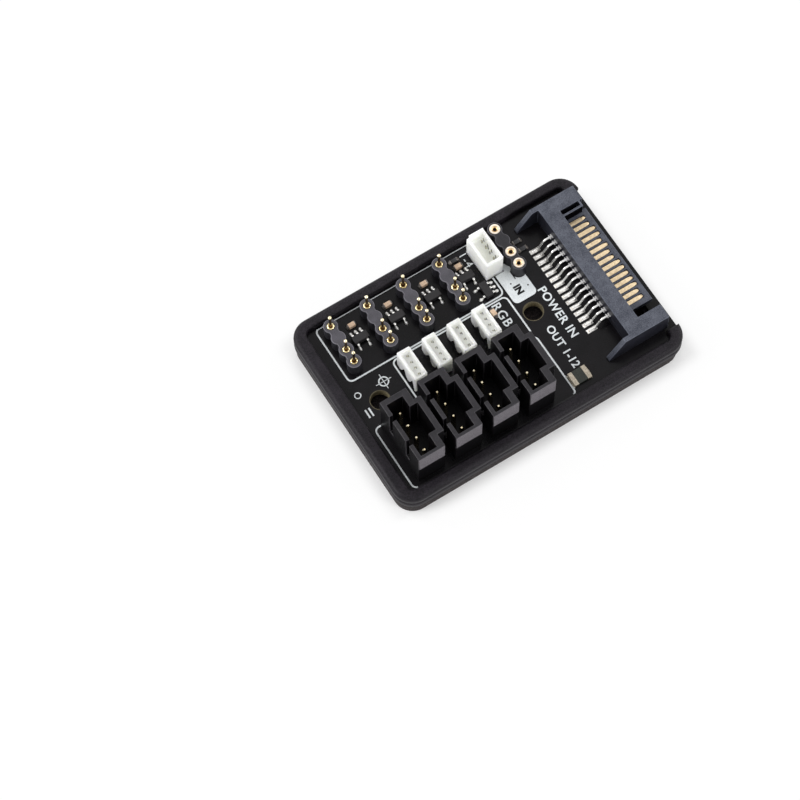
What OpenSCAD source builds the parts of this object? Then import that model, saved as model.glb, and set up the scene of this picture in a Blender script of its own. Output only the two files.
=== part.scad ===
// Lighting hub: a populated circuit board that lies in a soft tray.
// Millimetres, +Z up. The origin is the middle of the tray's underside.
// +X points to the power plug, and +Y to the row of strip headers.

/* [Tray] */
// Thickness of the floor under the pin tails
floor_t = 1.2; // [0.8:0.1:2]
// Room for the pin tails between the floor and the board
tail_room = 1.55; // [1.2:0.05:2.5]
// Height of the rim above the top of the board
rim_rise = 1.35; // [0.8:0.05:2]
// Thickness of the two end walls
end_wall = 2.5; // [2:0.1:3.5]
// Thickness of the two long walls
side_wall = 2.1; // [1.9:0.1:3]
// Outer corner radius of the rim
tray_corner_r = 3.7; // [3:0.1:5]
// Rounding of the rim's outer edge
shoulder_r = 0.9; // [0.4:0.1:1.2]
// Rounding of the rim's inner edge
rim_inner_r = 0.4; // [0.2:0.1:0.6]
// Height of the foot band at the base of the wall
foot_h = 2.25; // [1.5:0.05:2.5]
// How far the foot band lies inside the rim's outline
foot_inset = 0.25; // [0.1:0.05:0.5]
// How far the foot band lies inside the outline at the plug's end
foot_plug_inset = 0.7; // [0.3:0.05:1]
// Height of the groove above the foot band
groove_h = 0.3; // [0.2:0.05:0.5]
// Depth of that groove
groove_depth = 0.5; // [0.3:0.05:0.7]
// Height of the bead between the groove and the rim
bead_h = 1.35; // [0.9:0.05:1.5]
// Depth of the fine seam above the bead
seam_depth = 0.3; // [0.1:0.05:0.4]
// Width of the ledge that carries the board
ledge_w = 0.55; // [0.4:0.05:0.8]
// Free width beside the plug in the lowered end wall
notch_gap = 0.6; // [0.3:0.05:0.8]
// Drop of the lowered end wall below the top of the board
notch_drop = 0.45; // [0.3:0.05:0.8]

/* [Circuit board] */
// Thickness of the board
board_t = 1.6; // [1:0.1:2]
// Gap between the board's edge and the tray
board_gap = 0.1; // [0.05:0.05:0.25]
// Corner radius of the board
board_corner_r = 1; // [0.5:0.1:1.4]
// Diameter of the two mounting holes
mount_hole_d = 3.4; // [2.6:0.1:3.8]
// Gap around each metal tail in its hole, and around each contact in its housing
tail_gap = 0.05; // [0.03:0.01:0.1]
// Free space between the pin tails and the tray's floor
tail_clear = 0.5; // [0.3:0.05:0.8]

/* [Places along the length] */
// Board's end to the first strip header
first_column = 3.99; // [3.6:0.01:5]
// Distance from one column of headers to the next
column_pitch = 7.27; // [7.1:0.01:8.5]
// Last strip header to the white input housing
column_to_input = 5.9; // [5.8:0.05:7]
// White input housing to the middle of the input strip
input_to_strip = 2.25; // [1.6:0.05:4]
// Middle of the input strip to the solder pads
strip_to_pads = 3.45; // [3.4:0.05:6]
// Solder pads to the back of the power plug
pads_to_plug = 2.49; // [2.3:0.01:4]
// How far the plug's arms reach past the board's end
arm_overhang = 0.8; // [0.3:0.05:1.2]

/* [Places across the width] */
// Board's edge to the shrouded headers
shroud_margin = 0.95; // [0.6:0.05:2]
// Shrouded headers to the small white housings
shroud_to_small = 1.95; // [1.2:0.05:3]
// Small white housings to the first pin of the strip headers
small_to_strip = 3.48; // [3.4:0.01:4.5]
// Last pin of the strip headers to the board's edge
strip_margin = 2.05; // [1.6:0.05:3]
// Shrouded headers to the edge of the mounting holes
shroud_to_hole = 2.2; // [1:0.05:2.4]

/* [Strip headers] */
// Pitch of the pins and of the lobes around them
strip_pitch = 2.54; // [2.5:0.01:2.6]
// Diameter of the lobes
lobe_d = 2.6; // [2.54:0.02:2.7]
// Width of the waists between the lobes
waist_w = 1.65; // [1.2:0.05:2]
// Height of the strip header's body
strip_h = 2.85; // [2:0.05:4]
// Diameter of the collar around each pin
collar_d = 1.4; // [1:0.05:1.8]
// Diameter of the turned pins
pin_d = 0.5; // [0.4:0.02:0.6]
// Diameter of the rounded pin tips
pin_tip_d = 0.6; // [0.5:0.02:0.7]
// Height of the pins above their body
pin_reach = 3.53; // [2.5:0.01:5]

/* [Input strip] */
// Height of the input strip's body
input_strip_h = 3.03; // [2.5:0.01:4]
// Diameter of the turned sockets' heads
socket_head_d = 1.95; // [1.7:0.05:2.1]
// Diameter of the turned sockets below their heads
socket_body_d = 1.5; // [1.2:0.05:1.6]
// Height of the turned sockets' heads
socket_head_h = 0.5; // [0.3:0.05:0.8]
// Diameter of the hole that takes a pin
socket_bore_d = 0.7; // [0.6:0.02:0.8]
// Depth of the hole that takes a pin
socket_depth = 2.2; // [1.5:0.05:2.4]
// Diameter of the funnel at the hole's mouth
funnel_d = 1.3; // [1:0.05:1.5]
// Depth of the funnel at the hole's mouth
funnel_h = 0.35; // [0.2:0.05:0.5]
// How far the input strip lies past the strip headers, away from the shrouds
input_strip_shift = 0.48; // [0:0.02:0.6]

/* [White housings] */
// Pitch of the contacts in the white housings
fine_pitch = 1.25; // [1:0.05:1.3]
// Length of the input housing
input_len = 6.8; // [6.4:0.1:7.2]
// Width of the input housing
input_w = 3.5; // [3:0.1:4]
// Height of the input housing
input_h = 5.3; // [4:0.1:6]
// First strip pin to the near end of the input housing
strip_to_housing = 1.72; // [1.2:0.02:1.8]
// Length of a small housing
small_len = 5.9; // [5.6:0.1:6.3]
// Width of a small housing
small_w = 2.5; // [2.2:0.1:3]
// Height of a small housing
small_h = 5; // [4:0.1:6]
// Distance from one small housing to the next
small_pitch = 4.95; // [4.6:0.01:5.2]
// Offset of the first small housing from the second strip header
small_shift = 0.28; // [0:0.02:0.6]
// Wall of the white housings at their front and ends
thin_wall = 0.5; // [0.4:0.05:0.6]
// Wall of the white housings at their back
back_wall = 0.75; // [0.6:0.05:0.9]
// Floor of the white housings
housing_floor = 1.4; // [1:0.1:2]
// Width of the contacts in the white housings
fine_contact_w = 0.35; // [0.25:0.05:0.45]
// Thickness of the contacts in the white housings
fine_contact_t = 0.3; // [0.2:0.05:0.35]
// How far those contacts end below the housing's top
fine_contact_drop = 0.6; // [0.3:0.05:1.2]
// Distance between the two arched cuts at the foot of a small housing
foot_cut_pitch = 2.4; // [1.6:0.05:3]
// Width of those arched cuts
foot_cut_w = 0.7; // [0.5:0.05:0.9]
// Height of those arched cuts
foot_cut_h = 2.2; // [1.2:0.1:2.6]
// Depth of those arched cuts
foot_cut_depth = 0.45; // [0.3:0.05:0.55]

/* [Shrouded headers] */
// Pitch of the pins
shroud_pitch = 2.54; // [2.5:0.01:2.6]
// Length of the shroud
shroud_len = 12.25; // [11.8:0.05:12.6]
// Height of the shroud
shroud_h = 9.4; // [8:0.1:11]
// Offset of the pins from the strip headers' line
shroud_shift = 0.7; // [0.4:0.05:0.9]
// Pins to the outside of the slotted wall
shroud_back = 2.5; // [2.4:0.05:2.6]
// Pins to the outside of the opposite wall
shroud_front = 2.6; // [2.4:0.05:2.8]
// Reach of the keyed bulge past the opposite wall
bulge_reach = 1.3; // [1:0.05:1.4]
// Length of the keyed bulge
bulge_len = 7.4; // [7:0.1:8]
// Slotted wall of the shroud
slot_wall = 0.75; // [0.6:0.05:0.9]
// Wall opposite the slots
front_wall = 1.25; // [1:0.05:1.3]
// Wall of the keyed bulge
bulge_wall = 1.03; // [0.8:0.01:1.1]
// End walls of the keyed bulge
bulge_side = 0.85; // [0.7:0.05:1]
// End wall at the board's edge
near_wall = 0.55; // [0.4:0.05:0.8]
// End wall towards the small housings
far_wall = 1; // [0.8:0.05:1.2]
// Floor of the shroud
shroud_floor = 1.6; // [1.2:0.1:2.5]
// Width of the two slots
slot_w = 1; // [0.8:0.05:1.2]
// Distance between the two slots
slot_pitch = 5.12; // [4.8:0.02:5.4]
// Depth of the two slots from the top
slot_depth = 6.1; // [4.5:0.1:6.5]
// Depth of the flat recess in the wall at the board's edge
recess_depth = 0.2; // [0.1:0.05:0.3]
// Height of the plain band above that recess
recess_band = 4.3; // [3:0.1:5]
// Side of the square pins
post_w = 0.64; // [0.5:0.02:0.7]
// Height of the pin tips above the board
post_h = 6.35; // [5:0.05:7]
// Height of the tapered pin tips
post_taper = 0.45; // [0.3:0.05:0.6]

/* [Power plug] */
// Height of the housing above the board
plug_h = 4.4; // [3.8:0.1:5]
// Thickness of the block that holds the contacts
block_t = 3.1; // [2.6:0.1:3.6]
// Length of the guide arms in front of the block
arm_len = 4.56; // [4.2:0.02:5.5]
// Width of the guide arm beside the narrow slot
far_arm_w = 2.99; // [2.7:0.01:3.2]
// Width of the other guide arm
near_arm_w = 2.79; // [2.5:0.01:3.2]
// Width of the narrow slot
narrow_slot = 0.88; // [0.7:0.02:1.1]
// Width of the wide gap
wide_gap = 2.38; // [2:0.02:2.6]
// Thickness of the contact tongue
tongue_t = 1.2; // [1.1:0.05:1.3]
// Height of the tongue's top above the board
tongue_z = 2.15; // [2:0.05:2.4]
// How far the tongue reaches past the arms
tongue_reach = 0.2; // [0:0.05:0.4]
// Tongue's edge to the middle of the nearest contact
tongue_margin = 1.44; // [1.3:0.02:1.7]
// Thickness of the upright rib at the tongue's end
rib_t = 0.4; // [0.3:0.05:0.5]
// Thickness of the web that closes the narrow slot
web_t = 0.3; // [0.2:0.05:0.4]
// How far that web lies behind the ends of the arms
web_setback = 0.6; // [0.4:0.05:1]
// Length of the rear wings
wing_len = 4.3; // [3.6:0.1:4.4]
// Thickness of the rear wings
wing_t = 0.9; // [0.7:0.05:1.1]
// Flat top of the rear wings before they slope down
wing_flat = 1.24; // [0.6:0.02:1.6]
// Height of the rear wings at their tips
wing_tip_h = 0.5; // [0.3:0.05:0.8]

/* [Power contacts] */
// Pitch of the contacts
contact_pitch = 1.27; // [1.22:0.01:1.3]
// Width of a contact on the tongue
contact_w = 0.79; // [0.7:0.01:0.9]
// Thickness of the contact metal
contact_t = 0.2; // [0.15:0.01:0.25]
// Depth of a contact's face below the tongue's top
contact_sink = 0.05; // [0.02:0.01:0.1]
// Long contacts' tips behind the tongue's front
long_tip = 0.6; // [0.4:0.05:0.8]
// Short contacts' tips behind the tongue's front
short_tip = 1.05; // [0.9:0.05:1.3]
// Width of the soldered leads
lead_w = 0.5; // [0.4:0.02:0.6]
// Width of the shoulder where a lead leaves the block
lead_shoulder_w = 0.86; // [0.75:0.01:0.95]
// Length of that shoulder
lead_shoulder = 0.4; // [0.2:0.05:0.6]
// Level stretch of a lead behind the block
lead_level = 1.55; // [1.2:0.05:1.7]
// Length of a lead's foot
lead_foot = 1.35; // [1:0.05:1.5]
// Length of a solder pad
pad_len = 1.95; // [1.8:0.05:2.2]
// Thickness of the pads
pad_t = 0.06; // [0.04:0.01:0.1]
// Pad's end to the tip of the foot
foot_margin = 0.3; // [0.2:0.05:0.4]

/* [Small parts] */
// Length of a driver chip's body
chip_len = 2.9; // [2.6:0.05:3.1]
// Width of a driver chip's body
chip_w = 1.6; // [1.4:0.05:1.7]
// Height of a driver chip's body
chip_h = 1.05; // [0.8:0.05:1.3]
// Gap under a driver chip's body
chip_standoff = 0.1; // [0.05:0.01:0.15]
// Pitch of a driver chip's legs
leg_pitch = 0.95; // [0.9:0.01:1]
// Width of a driver chip's legs
leg_w = 0.42; // [0.3:0.02:0.5]
// Thickness of a driver chip's legs
leg_t = 0.15; // [0.1:0.01:0.2]
// Level stretch of a leg before its bend
leg_level = 0.28; // [0.2:0.02:0.34]
// Run of the slope between a leg's two bends
leg_slope = 0.16; // [0.1:0.02:0.2]
// Reach of a driver chip's legs from its body
leg_reach = 0.8; // [0.7:0.05:0.9]
// Length of a capacitor
cap_len = 1.6; // [1.4:0.05:1.8]
// Width of a capacitor
cap_w = 0.85; // [0.7:0.05:1]
// Height of a capacitor
cap_h = 0.8; // [0.6:0.05:1]
// Length of a resistor
res_len = 1.6; // [1.4:0.05:1.8]
// Width of a resistor
res_w = 0.8; // [0.7:0.05:1]
// Height of a resistor
res_h = 0.45; // [0.35:0.05:0.6]
// Length of the metal ends of both
end_cap = 0.32; // [0.2:0.02:0.4]
// Length of the resettable fuse
fuse_len = 3.5; // [3:0.1:3.8]
// Width of the resettable fuse
fuse_w = 2.6; // [2.2:0.1:2.8]
// Height of the resettable fuse
fuse_h = 0.6; // [0.4:0.05:0.9]
// Length of the fuse's metal ends
fuse_end = 0.85; // [0.5:0.05:0.9]

/* [Places of the small parts] */
// First strip header to the mounting hole beside it
first_hole_dx = 0.51; // [0.3:0.01:1]
// Middle of the input housing to the other mounting hole
last_hole_dx = 1.91; // [1.4:0.01:2.4]
// Strip header to the chip and the capacitor beside it
part_dx = 3.61; // [3.4:0.01:3.8]
// Last strip header to the chip and the parts beside it
last_part_dx = 3.14; // [2.9:0.01:3.3]
// First strip pin to the driver chips
chip_rise = 3.97; // [3.7:0.01:4.3]
// First strip pin to the capacitors beside the strip headers
cap_rise = 6.87; // [6.6:0.01:7.3]
// First strip pin to the last of those capacitors
last_cap_rise = 6.52; // [6.3:0.01:6.7]
// First strip pin to the resistor above the last chip
last_res_rise = 7.9; // [7.8:0.01:8.3]
// Input housing's back to the input chip
input_chip_dx = 1.16; // [1:0.02:1.4]
// First strip pin to the input chip
input_chip_rise = 0.1; // [0:0.01:0.2]
// Last strip header to the capacitor beside the small housings
side_cap_dx = 3.9; // [3.6:0.05:4.4]
// That capacitor to the upper end of the small housings
side_cap_drop = 0.46; // [0.3:0.02:0.8]
// Input strip to the upper resistor beside it
upper_res_dx = 2.64; // [2.5:0.02:2.8]
// First strip pin to that resistor
upper_res_rise = 5.17; // [4.8:0.01:5.6]
// Input strip to the lower resistor beside it
lower_res_dx = 2.82; // [2.5:0.02:2.84]
// First strip pin to that resistor
lower_res_rise = 3.47; // [3.4:0.01:3.8]
// Resettable fuse to the input strip's line
fuse_dx = 2.17; // [1.5:0.01:2.6]
// Lower end of the shrouded headers to the resettable fuse
fuse_rise = 1.72; // [1.5:0.02:3]

/* [Printed marks] */
// Thickness of the printed marks
print_t = 0.03; // [0.02:0.01:0.05]
// Width of the printed lines
line_w = 0.29; // [0.2:0.01:0.4]
// Corner radius of the printed boxes
box_r = 0.9; // [0.5:0.05:1.2]
// Bare ground kept between the print and the parts
print_gap = 0.08; // [0.05:0.01:0.2]
// First strip header to the end of the box around them
strip_box_side = 2.17; // [1.9:0.01:2.4]
// First strip pins to the near side of that box
strip_box_drop = 1.98; // [1.7:0.01:2.3]
// That box to the board's edge
strip_box_margin = 0.21; // [0.2:0.01:0.4]
// Input housing's back to the far end of that box
strip_box_past = 1.24; // [1:0.02:1.3]
// First small housing to the end of the box around them
small_box_side = 0.39; // [0.3:0.01:0.6]
// Small housings to the upper side of that box
small_box_rise = 1.03; // [0.6:0.01:1.1]
// Small housings to the open side of that box
small_box_drop = 1.05; // [0.8:0.05:1.2]
// Input housing's back to the far end of that box
small_box_past = 1.18; // [0.6:0.02:1.3]
// Board's end to the box around the shrouded headers
shroud_box_margin = 0.8; // [0.6:0.05:1]
// Shrouded headers to the near side of that box
shroud_box_drop = 0.65; // [0.4:0.01:0.7]
// Input housing's back to the far end of that box
shroud_box_past = 1.45; // [1:0.05:1.6]
// Input housing's back to the patch beside it
patch_x0_past = 1.76; // [1.6:0.02:2.4]
// Middle of the input strip to the patch's end
patch_x1_past = 0.6; // [0.2:0.01:0.9]
// Upper end of the small housings to the patch's lower end
patch_drop = 1.33; // [0.5:0.01:1.5]
// Lower end of the input housing to the patch's upper end
patch_rise = 1.2; // [0.8:0.05:1.6]

/* [Hidden] */
$fn = 48;
columns = 4;
shroud_pins = 4;
fine_contacts = 4;
strip_slots = 4;
// Lobes of a strip that hold a pin; the third lobe is blank
strip_pin_slots = [0, 1, 3];
// Long contacts of the plug, from the far arm to the near one
contact_is_long = [0, 0, 1, 1, 0, 1, 0, 0, 1, 1, 1, 1, 1, 0, 0];
contacts = len(contact_is_long);
cut = 0.5;
arc_steps = 6;

// Levels
board_z = floor_t + tail_room;
board_top = board_z + board_t;
tray_h = board_top + rim_rise;
tail_z = floor_t + tail_clear;
notch_z = board_top - notch_drop;

// Spans of the board, the sum of what stands on it
strip_span = (strip_slots - 1) * strip_pitch;
board_w = shroud_margin + shroud_len + shroud_to_small + small_len + small_to_strip
    + strip_span + strip_margin;
plug_depth = block_t + arm_len;
board_l = first_column + (columns - 1) * column_pitch + column_to_input + input_w
    + input_to_strip + strip_to_pads + pad_len + pads_to_plug + plug_depth - arm_overhang;
pocket_l = board_l + 2 * board_gap;
pocket_w = board_w + 2 * board_gap;
tray_l = pocket_l + 2 * end_wall;
tray_w = pocket_w + 2 * side_wall;

// Places along the length
strip_x0 = -board_l / 2 + first_column;
last_strip_x = strip_x0 + (columns - 1) * column_pitch;
input_x0 = last_strip_x + column_to_input;
input_strip_x = input_x0 + input_w + input_to_strip;
pad_x0 = input_strip_x + strip_to_pads;
pad_x1 = pad_x0 + pad_len;
block_x0 = pad_x1 + pads_to_plug;
block_x1 = block_x0 + block_t;
arm_x1 = block_x1 + arm_len;
tongue_x1 = arm_x1 + tongue_reach;
small_x0 = strip_x0 + column_pitch + small_shift;

// Places across the width
shroud_y0 = -board_w / 2 + shroud_margin;
shroud_y1 = shroud_y0 + shroud_len;
small_y0 = shroud_y1 + shroud_to_small;
small_y1 = small_y0 + small_len;
strip_y0 = small_y1 + small_to_strip;
input_strip_y0 = strip_y0 + input_strip_shift;
input_y0 = strip_y0 + strip_to_housing;
input_y1 = input_y0 + input_len;
hole_y = shroud_y1 + shroud_to_hole + mount_hole_d / 2;
hole_xs = [strip_x0 + first_hole_dx, input_x0 + input_w / 2 + last_hole_dx];

// Power plug, centred on the board
contact_span = (contacts - 1) * contact_pitch;
tongue_w = contact_span + 2 * tongue_margin;
plug_w = near_arm_w + wide_gap + tongue_w + narrow_slot + far_arm_w;
plug_y0 = -plug_w / 2;
plug_y1 = plug_w / 2;
near_arm_y = plug_y0 + near_arm_w;
far_arm_y = plug_y1 - far_arm_w;
tongue_y0 = near_arm_y + wide_gap;
tongue_y1 = tongue_y0 + tongue_w;
contact_y1 = tongue_y1 - tongue_margin;
plug_top = board_top + plug_h;
tongue_top = board_top + tongue_z;
contact_top = tongue_top - contact_sink;

// Shrouded headers
shroud_mid_y = (shroud_y0 + shroud_y1) / 2;
shroud_pin_y0 = shroud_mid_y - (shroud_pins - 1) * shroud_pitch / 2;
shroud_top = board_top + shroud_h;

// Middles of the small parts
chip_y = strip_y0 + chip_rise;
input_chip_place = [input_x0 - input_chip_dx, strip_y0 + input_chip_rise];
cap_places = concat(
    [for (i = [0 : columns - 2]) [strip_x0 + i * column_pitch + part_dx, strip_y0 + cap_rise]],
    [[last_strip_x + last_part_dx, strip_y0 + last_cap_rise]],
    [[last_strip_x + side_cap_dx, small_y1 - side_cap_drop]]);
res_places = [
    [last_strip_x + last_part_dx, strip_y0 + last_res_rise],
    [input_strip_x + upper_res_dx, strip_y0 + upper_res_rise],
    [input_strip_x + lower_res_dx, strip_y0 + lower_res_rise]];
fuse_place = [input_strip_x - fuse_dx, shroud_y0 + fuse_rise];

// Corners of the printed boxes and of the patch
strip_box = [
    strip_x0 - strip_box_side, strip_y0 - strip_box_drop,
    input_x0 + strip_box_past, board_w / 2 - strip_box_margin];
small_box = [
    small_x0 - small_w / 2 - small_box_side, small_y0 - small_box_drop,
    input_x0 + small_box_past, small_y1 + small_box_rise];
patch = [
    input_x0 + patch_x0_past, small_y1 - patch_drop,
    input_strip_x + patch_x1_past, input_y0 + patch_rise];
shroud_box = [
    -board_l / 2 + shroud_box_margin, shroud_y0 - shroud_box_drop,
    input_x0 + shroud_box_past, shroud_y1 - line_w / 2];

// Points of an arc from angle a0 to angle a1 about the point c
function arc(c, r, a0, a1) = [for (i = [0 : arc_steps])
    let (a = a0 + (a1 - a0) * i / arc_steps) c + r * [cos(a), sin(a)]];

function column_x(i) = strip_x0 + i * column_pitch;
function shroud_x(i) = column_x(i) + shroud_shift;
function small_x(i) = small_x0 + i * small_pitch;
function contact_y(i) = contact_y1 - i * contact_pitch;
function chip_x(i) = column_x(i) + (i < columns - 1 ? part_dx : last_part_dx);
function fine_y(mid, i) = mid + (i - (fine_contacts - 1) / 2) * fine_pitch;

// A flat plate with rounded corners, between two corner points
module rounded_plate(x0, y0, x1, y1, r, h) {
    linear_extrude(h) rounded_area(x0, y0, x1, y1, r);
}

module rounded_area(x0, y0, x1, y1, r) {
    translate([x0 + r, y0]) square([x1 - x0 - 2 * r, y1 - y0]);
    translate([x0, y0 + r]) square([x1 - x0, y1 - y0 - 2 * r]);
    for (x = [x0 + r, x1 - r], y = [y0 + r, y1 - r])
        translate([x, y]) circle(r);
}

// A block between two corner points, at a height z0
module block(x0, y0, x1, y1, z0, z1) {
    translate([x0, y0, z0]) cube([x1 - x0, y1 - y0, z1 - z0]);
}

// A block with rounded corners whose wall follows a profile; the profile's x is counted
// from the middle of the corner arc
module profiled_block(l, w, r, z0, z1) {
    half_l = l / 2 - r;
    half_w = w / 2 - r;
    block(-half_l, -half_w, half_l, half_w, z0, z1);
    for (flip = [0, 1]) {
        mirror([flip, 0, 0]) translate([half_l, half_w, 0])
            rotate([90, 0, 0]) linear_extrude(2 * half_w) children();
        mirror([0, flip, 0]) translate([-half_l, half_w, 0])
            rotate([90, 0, 90]) linear_extrude(2 * half_l) children();
    }
    for (flip_x = [0, 1], flip_y = [0, 1])
        mirror([flip_x, 0, 0]) mirror([0, flip_y, 0]) translate([half_l, half_w, 0])
            rotate_extrude(angle = 90) children();
}

// Wall of the tray from the groove up to the rim
module tray_profile() {
    r = tray_corner_r;
    groove_top = foot_h + groove_h;
    bead_top = groove_top + bead_h;
    bead_mid = (groove_top + bead_top) / 2;
    rim_start = bead_top + seam_depth;
    polygon(concat(
        [[0, foot_h], [r - groove_depth, foot_h], [r - groove_depth, groove_top]],
        [[r - seam_depth / 2, groove_top], [r, groove_top + seam_depth / 2], [r, bead_mid]],
        [[r - seam_depth / 2, bead_top], [r - seam_depth, bead_top], [r, rim_start]],
        arc([r - shoulder_r, tray_h - shoulder_r], shoulder_r, 0, 90),
        [[0, tray_h]]));
}

// Opening of the tray, with the rim's inner edge rounded
module pocket_profile(r) {
    top = tray_h - rim_inner_r;
    polygon(concat(
        [[0, board_z], [r, board_z]],
        arc([r + rim_inner_r, top], rim_inner_r, 180, 90),
        [[r + rim_inner_r, tray_h + cut], [0, tray_h + cut]]));
}

module tray() {
    pocket_r = board_corner_r + board_gap;
    cavity_l = pocket_l - 2 * ledge_w;
    cavity_w = pocket_w - 2 * ledge_w;
    notch_w = plug_w + 2 * notch_gap;
    color([0.17, 0.165, 0.18]) difference() {
        union() {
            rounded_plate(-tray_l / 2 + foot_inset, -tray_w / 2 + foot_inset,
                tray_l / 2 - foot_plug_inset, tray_w / 2 - foot_inset,
                tray_corner_r - foot_inset, foot_h);
            profiled_block(tray_l, tray_w, tray_corner_r, foot_h, tray_h) tray_profile();
        }
        profiled_block(pocket_l, pocket_w, pocket_r, board_z, tray_h + cut) pocket_profile(pocket_r);
        translate([0, 0, floor_t])
            rounded_plate(-cavity_l / 2, -cavity_w / 2, cavity_l / 2, cavity_w / 2,
                board_corner_r, tail_room + cut);
        // The end wall is lowered in front of the power plug, and the rim's cut ends are rounded
        translate([pocket_l / 2 - cut, 0, 0]) rotate([90, 0, 90]) linear_extrude(end_wall + 2 * cut)
            polygon(concat(
                [[-notch_w / 2, notch_z]],
                arc([-notch_w / 2 - shoulder_r, tray_h - shoulder_r], shoulder_r, 0, 90),
                [[-notch_w / 2 - shoulder_r, tray_h + cut], [notch_w / 2 + shoulder_r, tray_h + cut]],
                arc([notch_w / 2 + shoulder_r, tray_h - shoulder_r], shoulder_r, 90, 180),
                [[notch_w / 2, notch_z]]));
    }
}

// Round hole for a metal tail, right through the board
module tail_hole(x, y, d) {
    translate([x, y, board_z - cut]) cylinder(d = d, h = board_t + 2 * cut);
}

module circuit_board() {
    fine_hole_d = norm([fine_contact_w, fine_contact_t]) + 2 * tail_gap;
    post_hole_d = norm([post_w, post_w]) + 2 * tail_gap;
    pin_hole_d = pin_d + 2 * tail_gap;
    color([0.09, 0.09, 0.1]) difference() {
        translate([0, 0, board_z])
            rounded_plate(-board_l / 2, -board_w / 2, board_l / 2, board_w / 2, board_corner_r, board_t);
        for (x = hole_xs)
            tail_hole(x, hole_y, mount_hole_d);
        for (i = [0 : columns - 1], k = strip_pin_slots)
            tail_hole(column_x(i), strip_y0 + k * strip_pitch, pin_hole_d);
        for (k = strip_pin_slots)
            tail_hole(input_strip_x, input_strip_y0 + k * strip_pitch, pin_hole_d);
        for (k = [0 : fine_contacts - 1])
            tail_hole(input_contact_x(), fine_y((input_y0 + input_y1) / 2, k), fine_hole_d);
        for (i = [0 : columns - 1], k = [0 : fine_contacts - 1])
            tail_hole(small_contact_x(i), fine_y((small_y0 + small_y1) / 2, k), fine_hole_d);
        for (i = [0 : columns - 1], k = [0 : shroud_pins - 1])
            tail_hole(shroud_x(i), shroud_pin_y0 + k * shroud_pitch, post_hole_d);
        // The board ends at the plug's block between the arms, which leaves room for a socket
        block(block_x1, near_arm_y, board_l / 2 + cut, far_arm_y, board_z - cut, board_top + cut);
    }
}

// Round lobes joined by narrow waists, with one bore for each pin
module lobed_strip(x, y0, h, bore_d) {
    translate([x, y0, board_top]) difference() {
        union() {
            for (k = [0 : strip_slots - 1])
                translate([0, k * strip_pitch, 0]) cylinder(d = lobe_d, h = h);
            translate([-waist_w / 2, 0, 0]) cube([waist_w, strip_span, h]);
        }
        for (k = strip_pin_slots)
            translate([0, k * strip_pitch, -cut]) cylinder(d = bore_d, h = h + 2 * cut);
    }
}

module strip_body(i) {
    color([0.25, 0.245, 0.265])
        lobed_strip(column_x(i), strip_y0, strip_h, collar_d + 2 * tail_gap);
}

// A turned pin: its tail, its collar and a thin shank with a rounded tip
module turned_pin() {
    tip_r = pin_tip_d / 2;
    tip_z = board_top + strip_h + pin_reach - tip_r;
    rotate_extrude() polygon(concat(
        [[0, tail_z], [pin_d / 2, tail_z], [pin_d / 2, board_top]],
        [[collar_d / 2, board_top], [collar_d / 2, board_top + strip_h]],
        [[pin_d / 2, board_top + strip_h], [pin_d / 2, tip_z - tip_r]],
        arc([0, tip_z], tip_r, 0, 90)));
}

module strip_pins(i) {
    color([0.8, 0.68, 0.42])
        for (k = strip_pin_slots)
            translate([column_x(i), strip_y0 + k * strip_pitch, 0]) turned_pin();
}

module input_strip_body() {
    head_z = board_top + input_strip_h - socket_head_h;
    color([0.2, 0.195, 0.21]) difference() {
        lobed_strip(input_strip_x, input_strip_y0, input_strip_h, socket_body_d + 2 * tail_gap);
        for (k = strip_pin_slots)
            translate([input_strip_x, input_strip_y0 + k * strip_pitch, head_z])
                cylinder(d = socket_head_d + 2 * tail_gap, h = socket_head_h + cut);
    }
}

// A turned socket: its tail, its barrel and a wider head with a funnel and a bore
module turned_socket() {
    top = board_top + input_strip_h;
    head_z = top - socket_head_h;
    rotate_extrude() polygon([
        [0, tail_z], [pin_d / 2, tail_z], [pin_d / 2, board_top],
        [socket_body_d / 2, board_top], [socket_body_d / 2, head_z],
        [socket_head_d / 2, head_z], [socket_head_d / 2, top],
        [funnel_d / 2, top], [socket_bore_d / 2, top - funnel_h],
        [socket_bore_d / 2, top - socket_depth], [0, top - socket_depth]]);
}

module input_strip_sockets() {
    color([0.93, 0.84, 0.65])
        for (k = strip_pin_slots)
            translate([input_strip_x, input_strip_y0 + k * strip_pitch, 0]) turned_socket();
}

// Middle of the contacts across a white housing, close to its front wall
function input_contact_x() = input_x0 + input_w - thin_wall - 2 * fine_contact_t;
function small_contact_x(i) = small_x(i) + small_w / 2 - thin_wall - 2 * fine_contact_t;

module fine_contact_slots(x, y_mid, grow) {
    w = fine_contact_t + grow;
    l = fine_contact_w + grow;
    for (k = [0 : fine_contacts - 1])
        translate([x - w / 2, fine_y(y_mid, k) - l / 2, 0]) square([w, l]);
}

// Open white housing between two corner points, with a way from top to foot for each contact
module white_housing(x0, y0, x1, y1, h, contact_x) {
    difference() {
        block(x0, y0, x1, y1, board_top, board_top + h);
        block(x0 + back_wall, y0 + thin_wall, x1 - thin_wall, y1 - back_wall,
            board_top + housing_floor, board_top + h + cut);
        translate([0, 0, board_top - cut]) linear_extrude(h + 2 * cut)
            fine_contact_slots(contact_x, (y0 + y1) / 2, 2 * tail_gap);
    }
}

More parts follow.
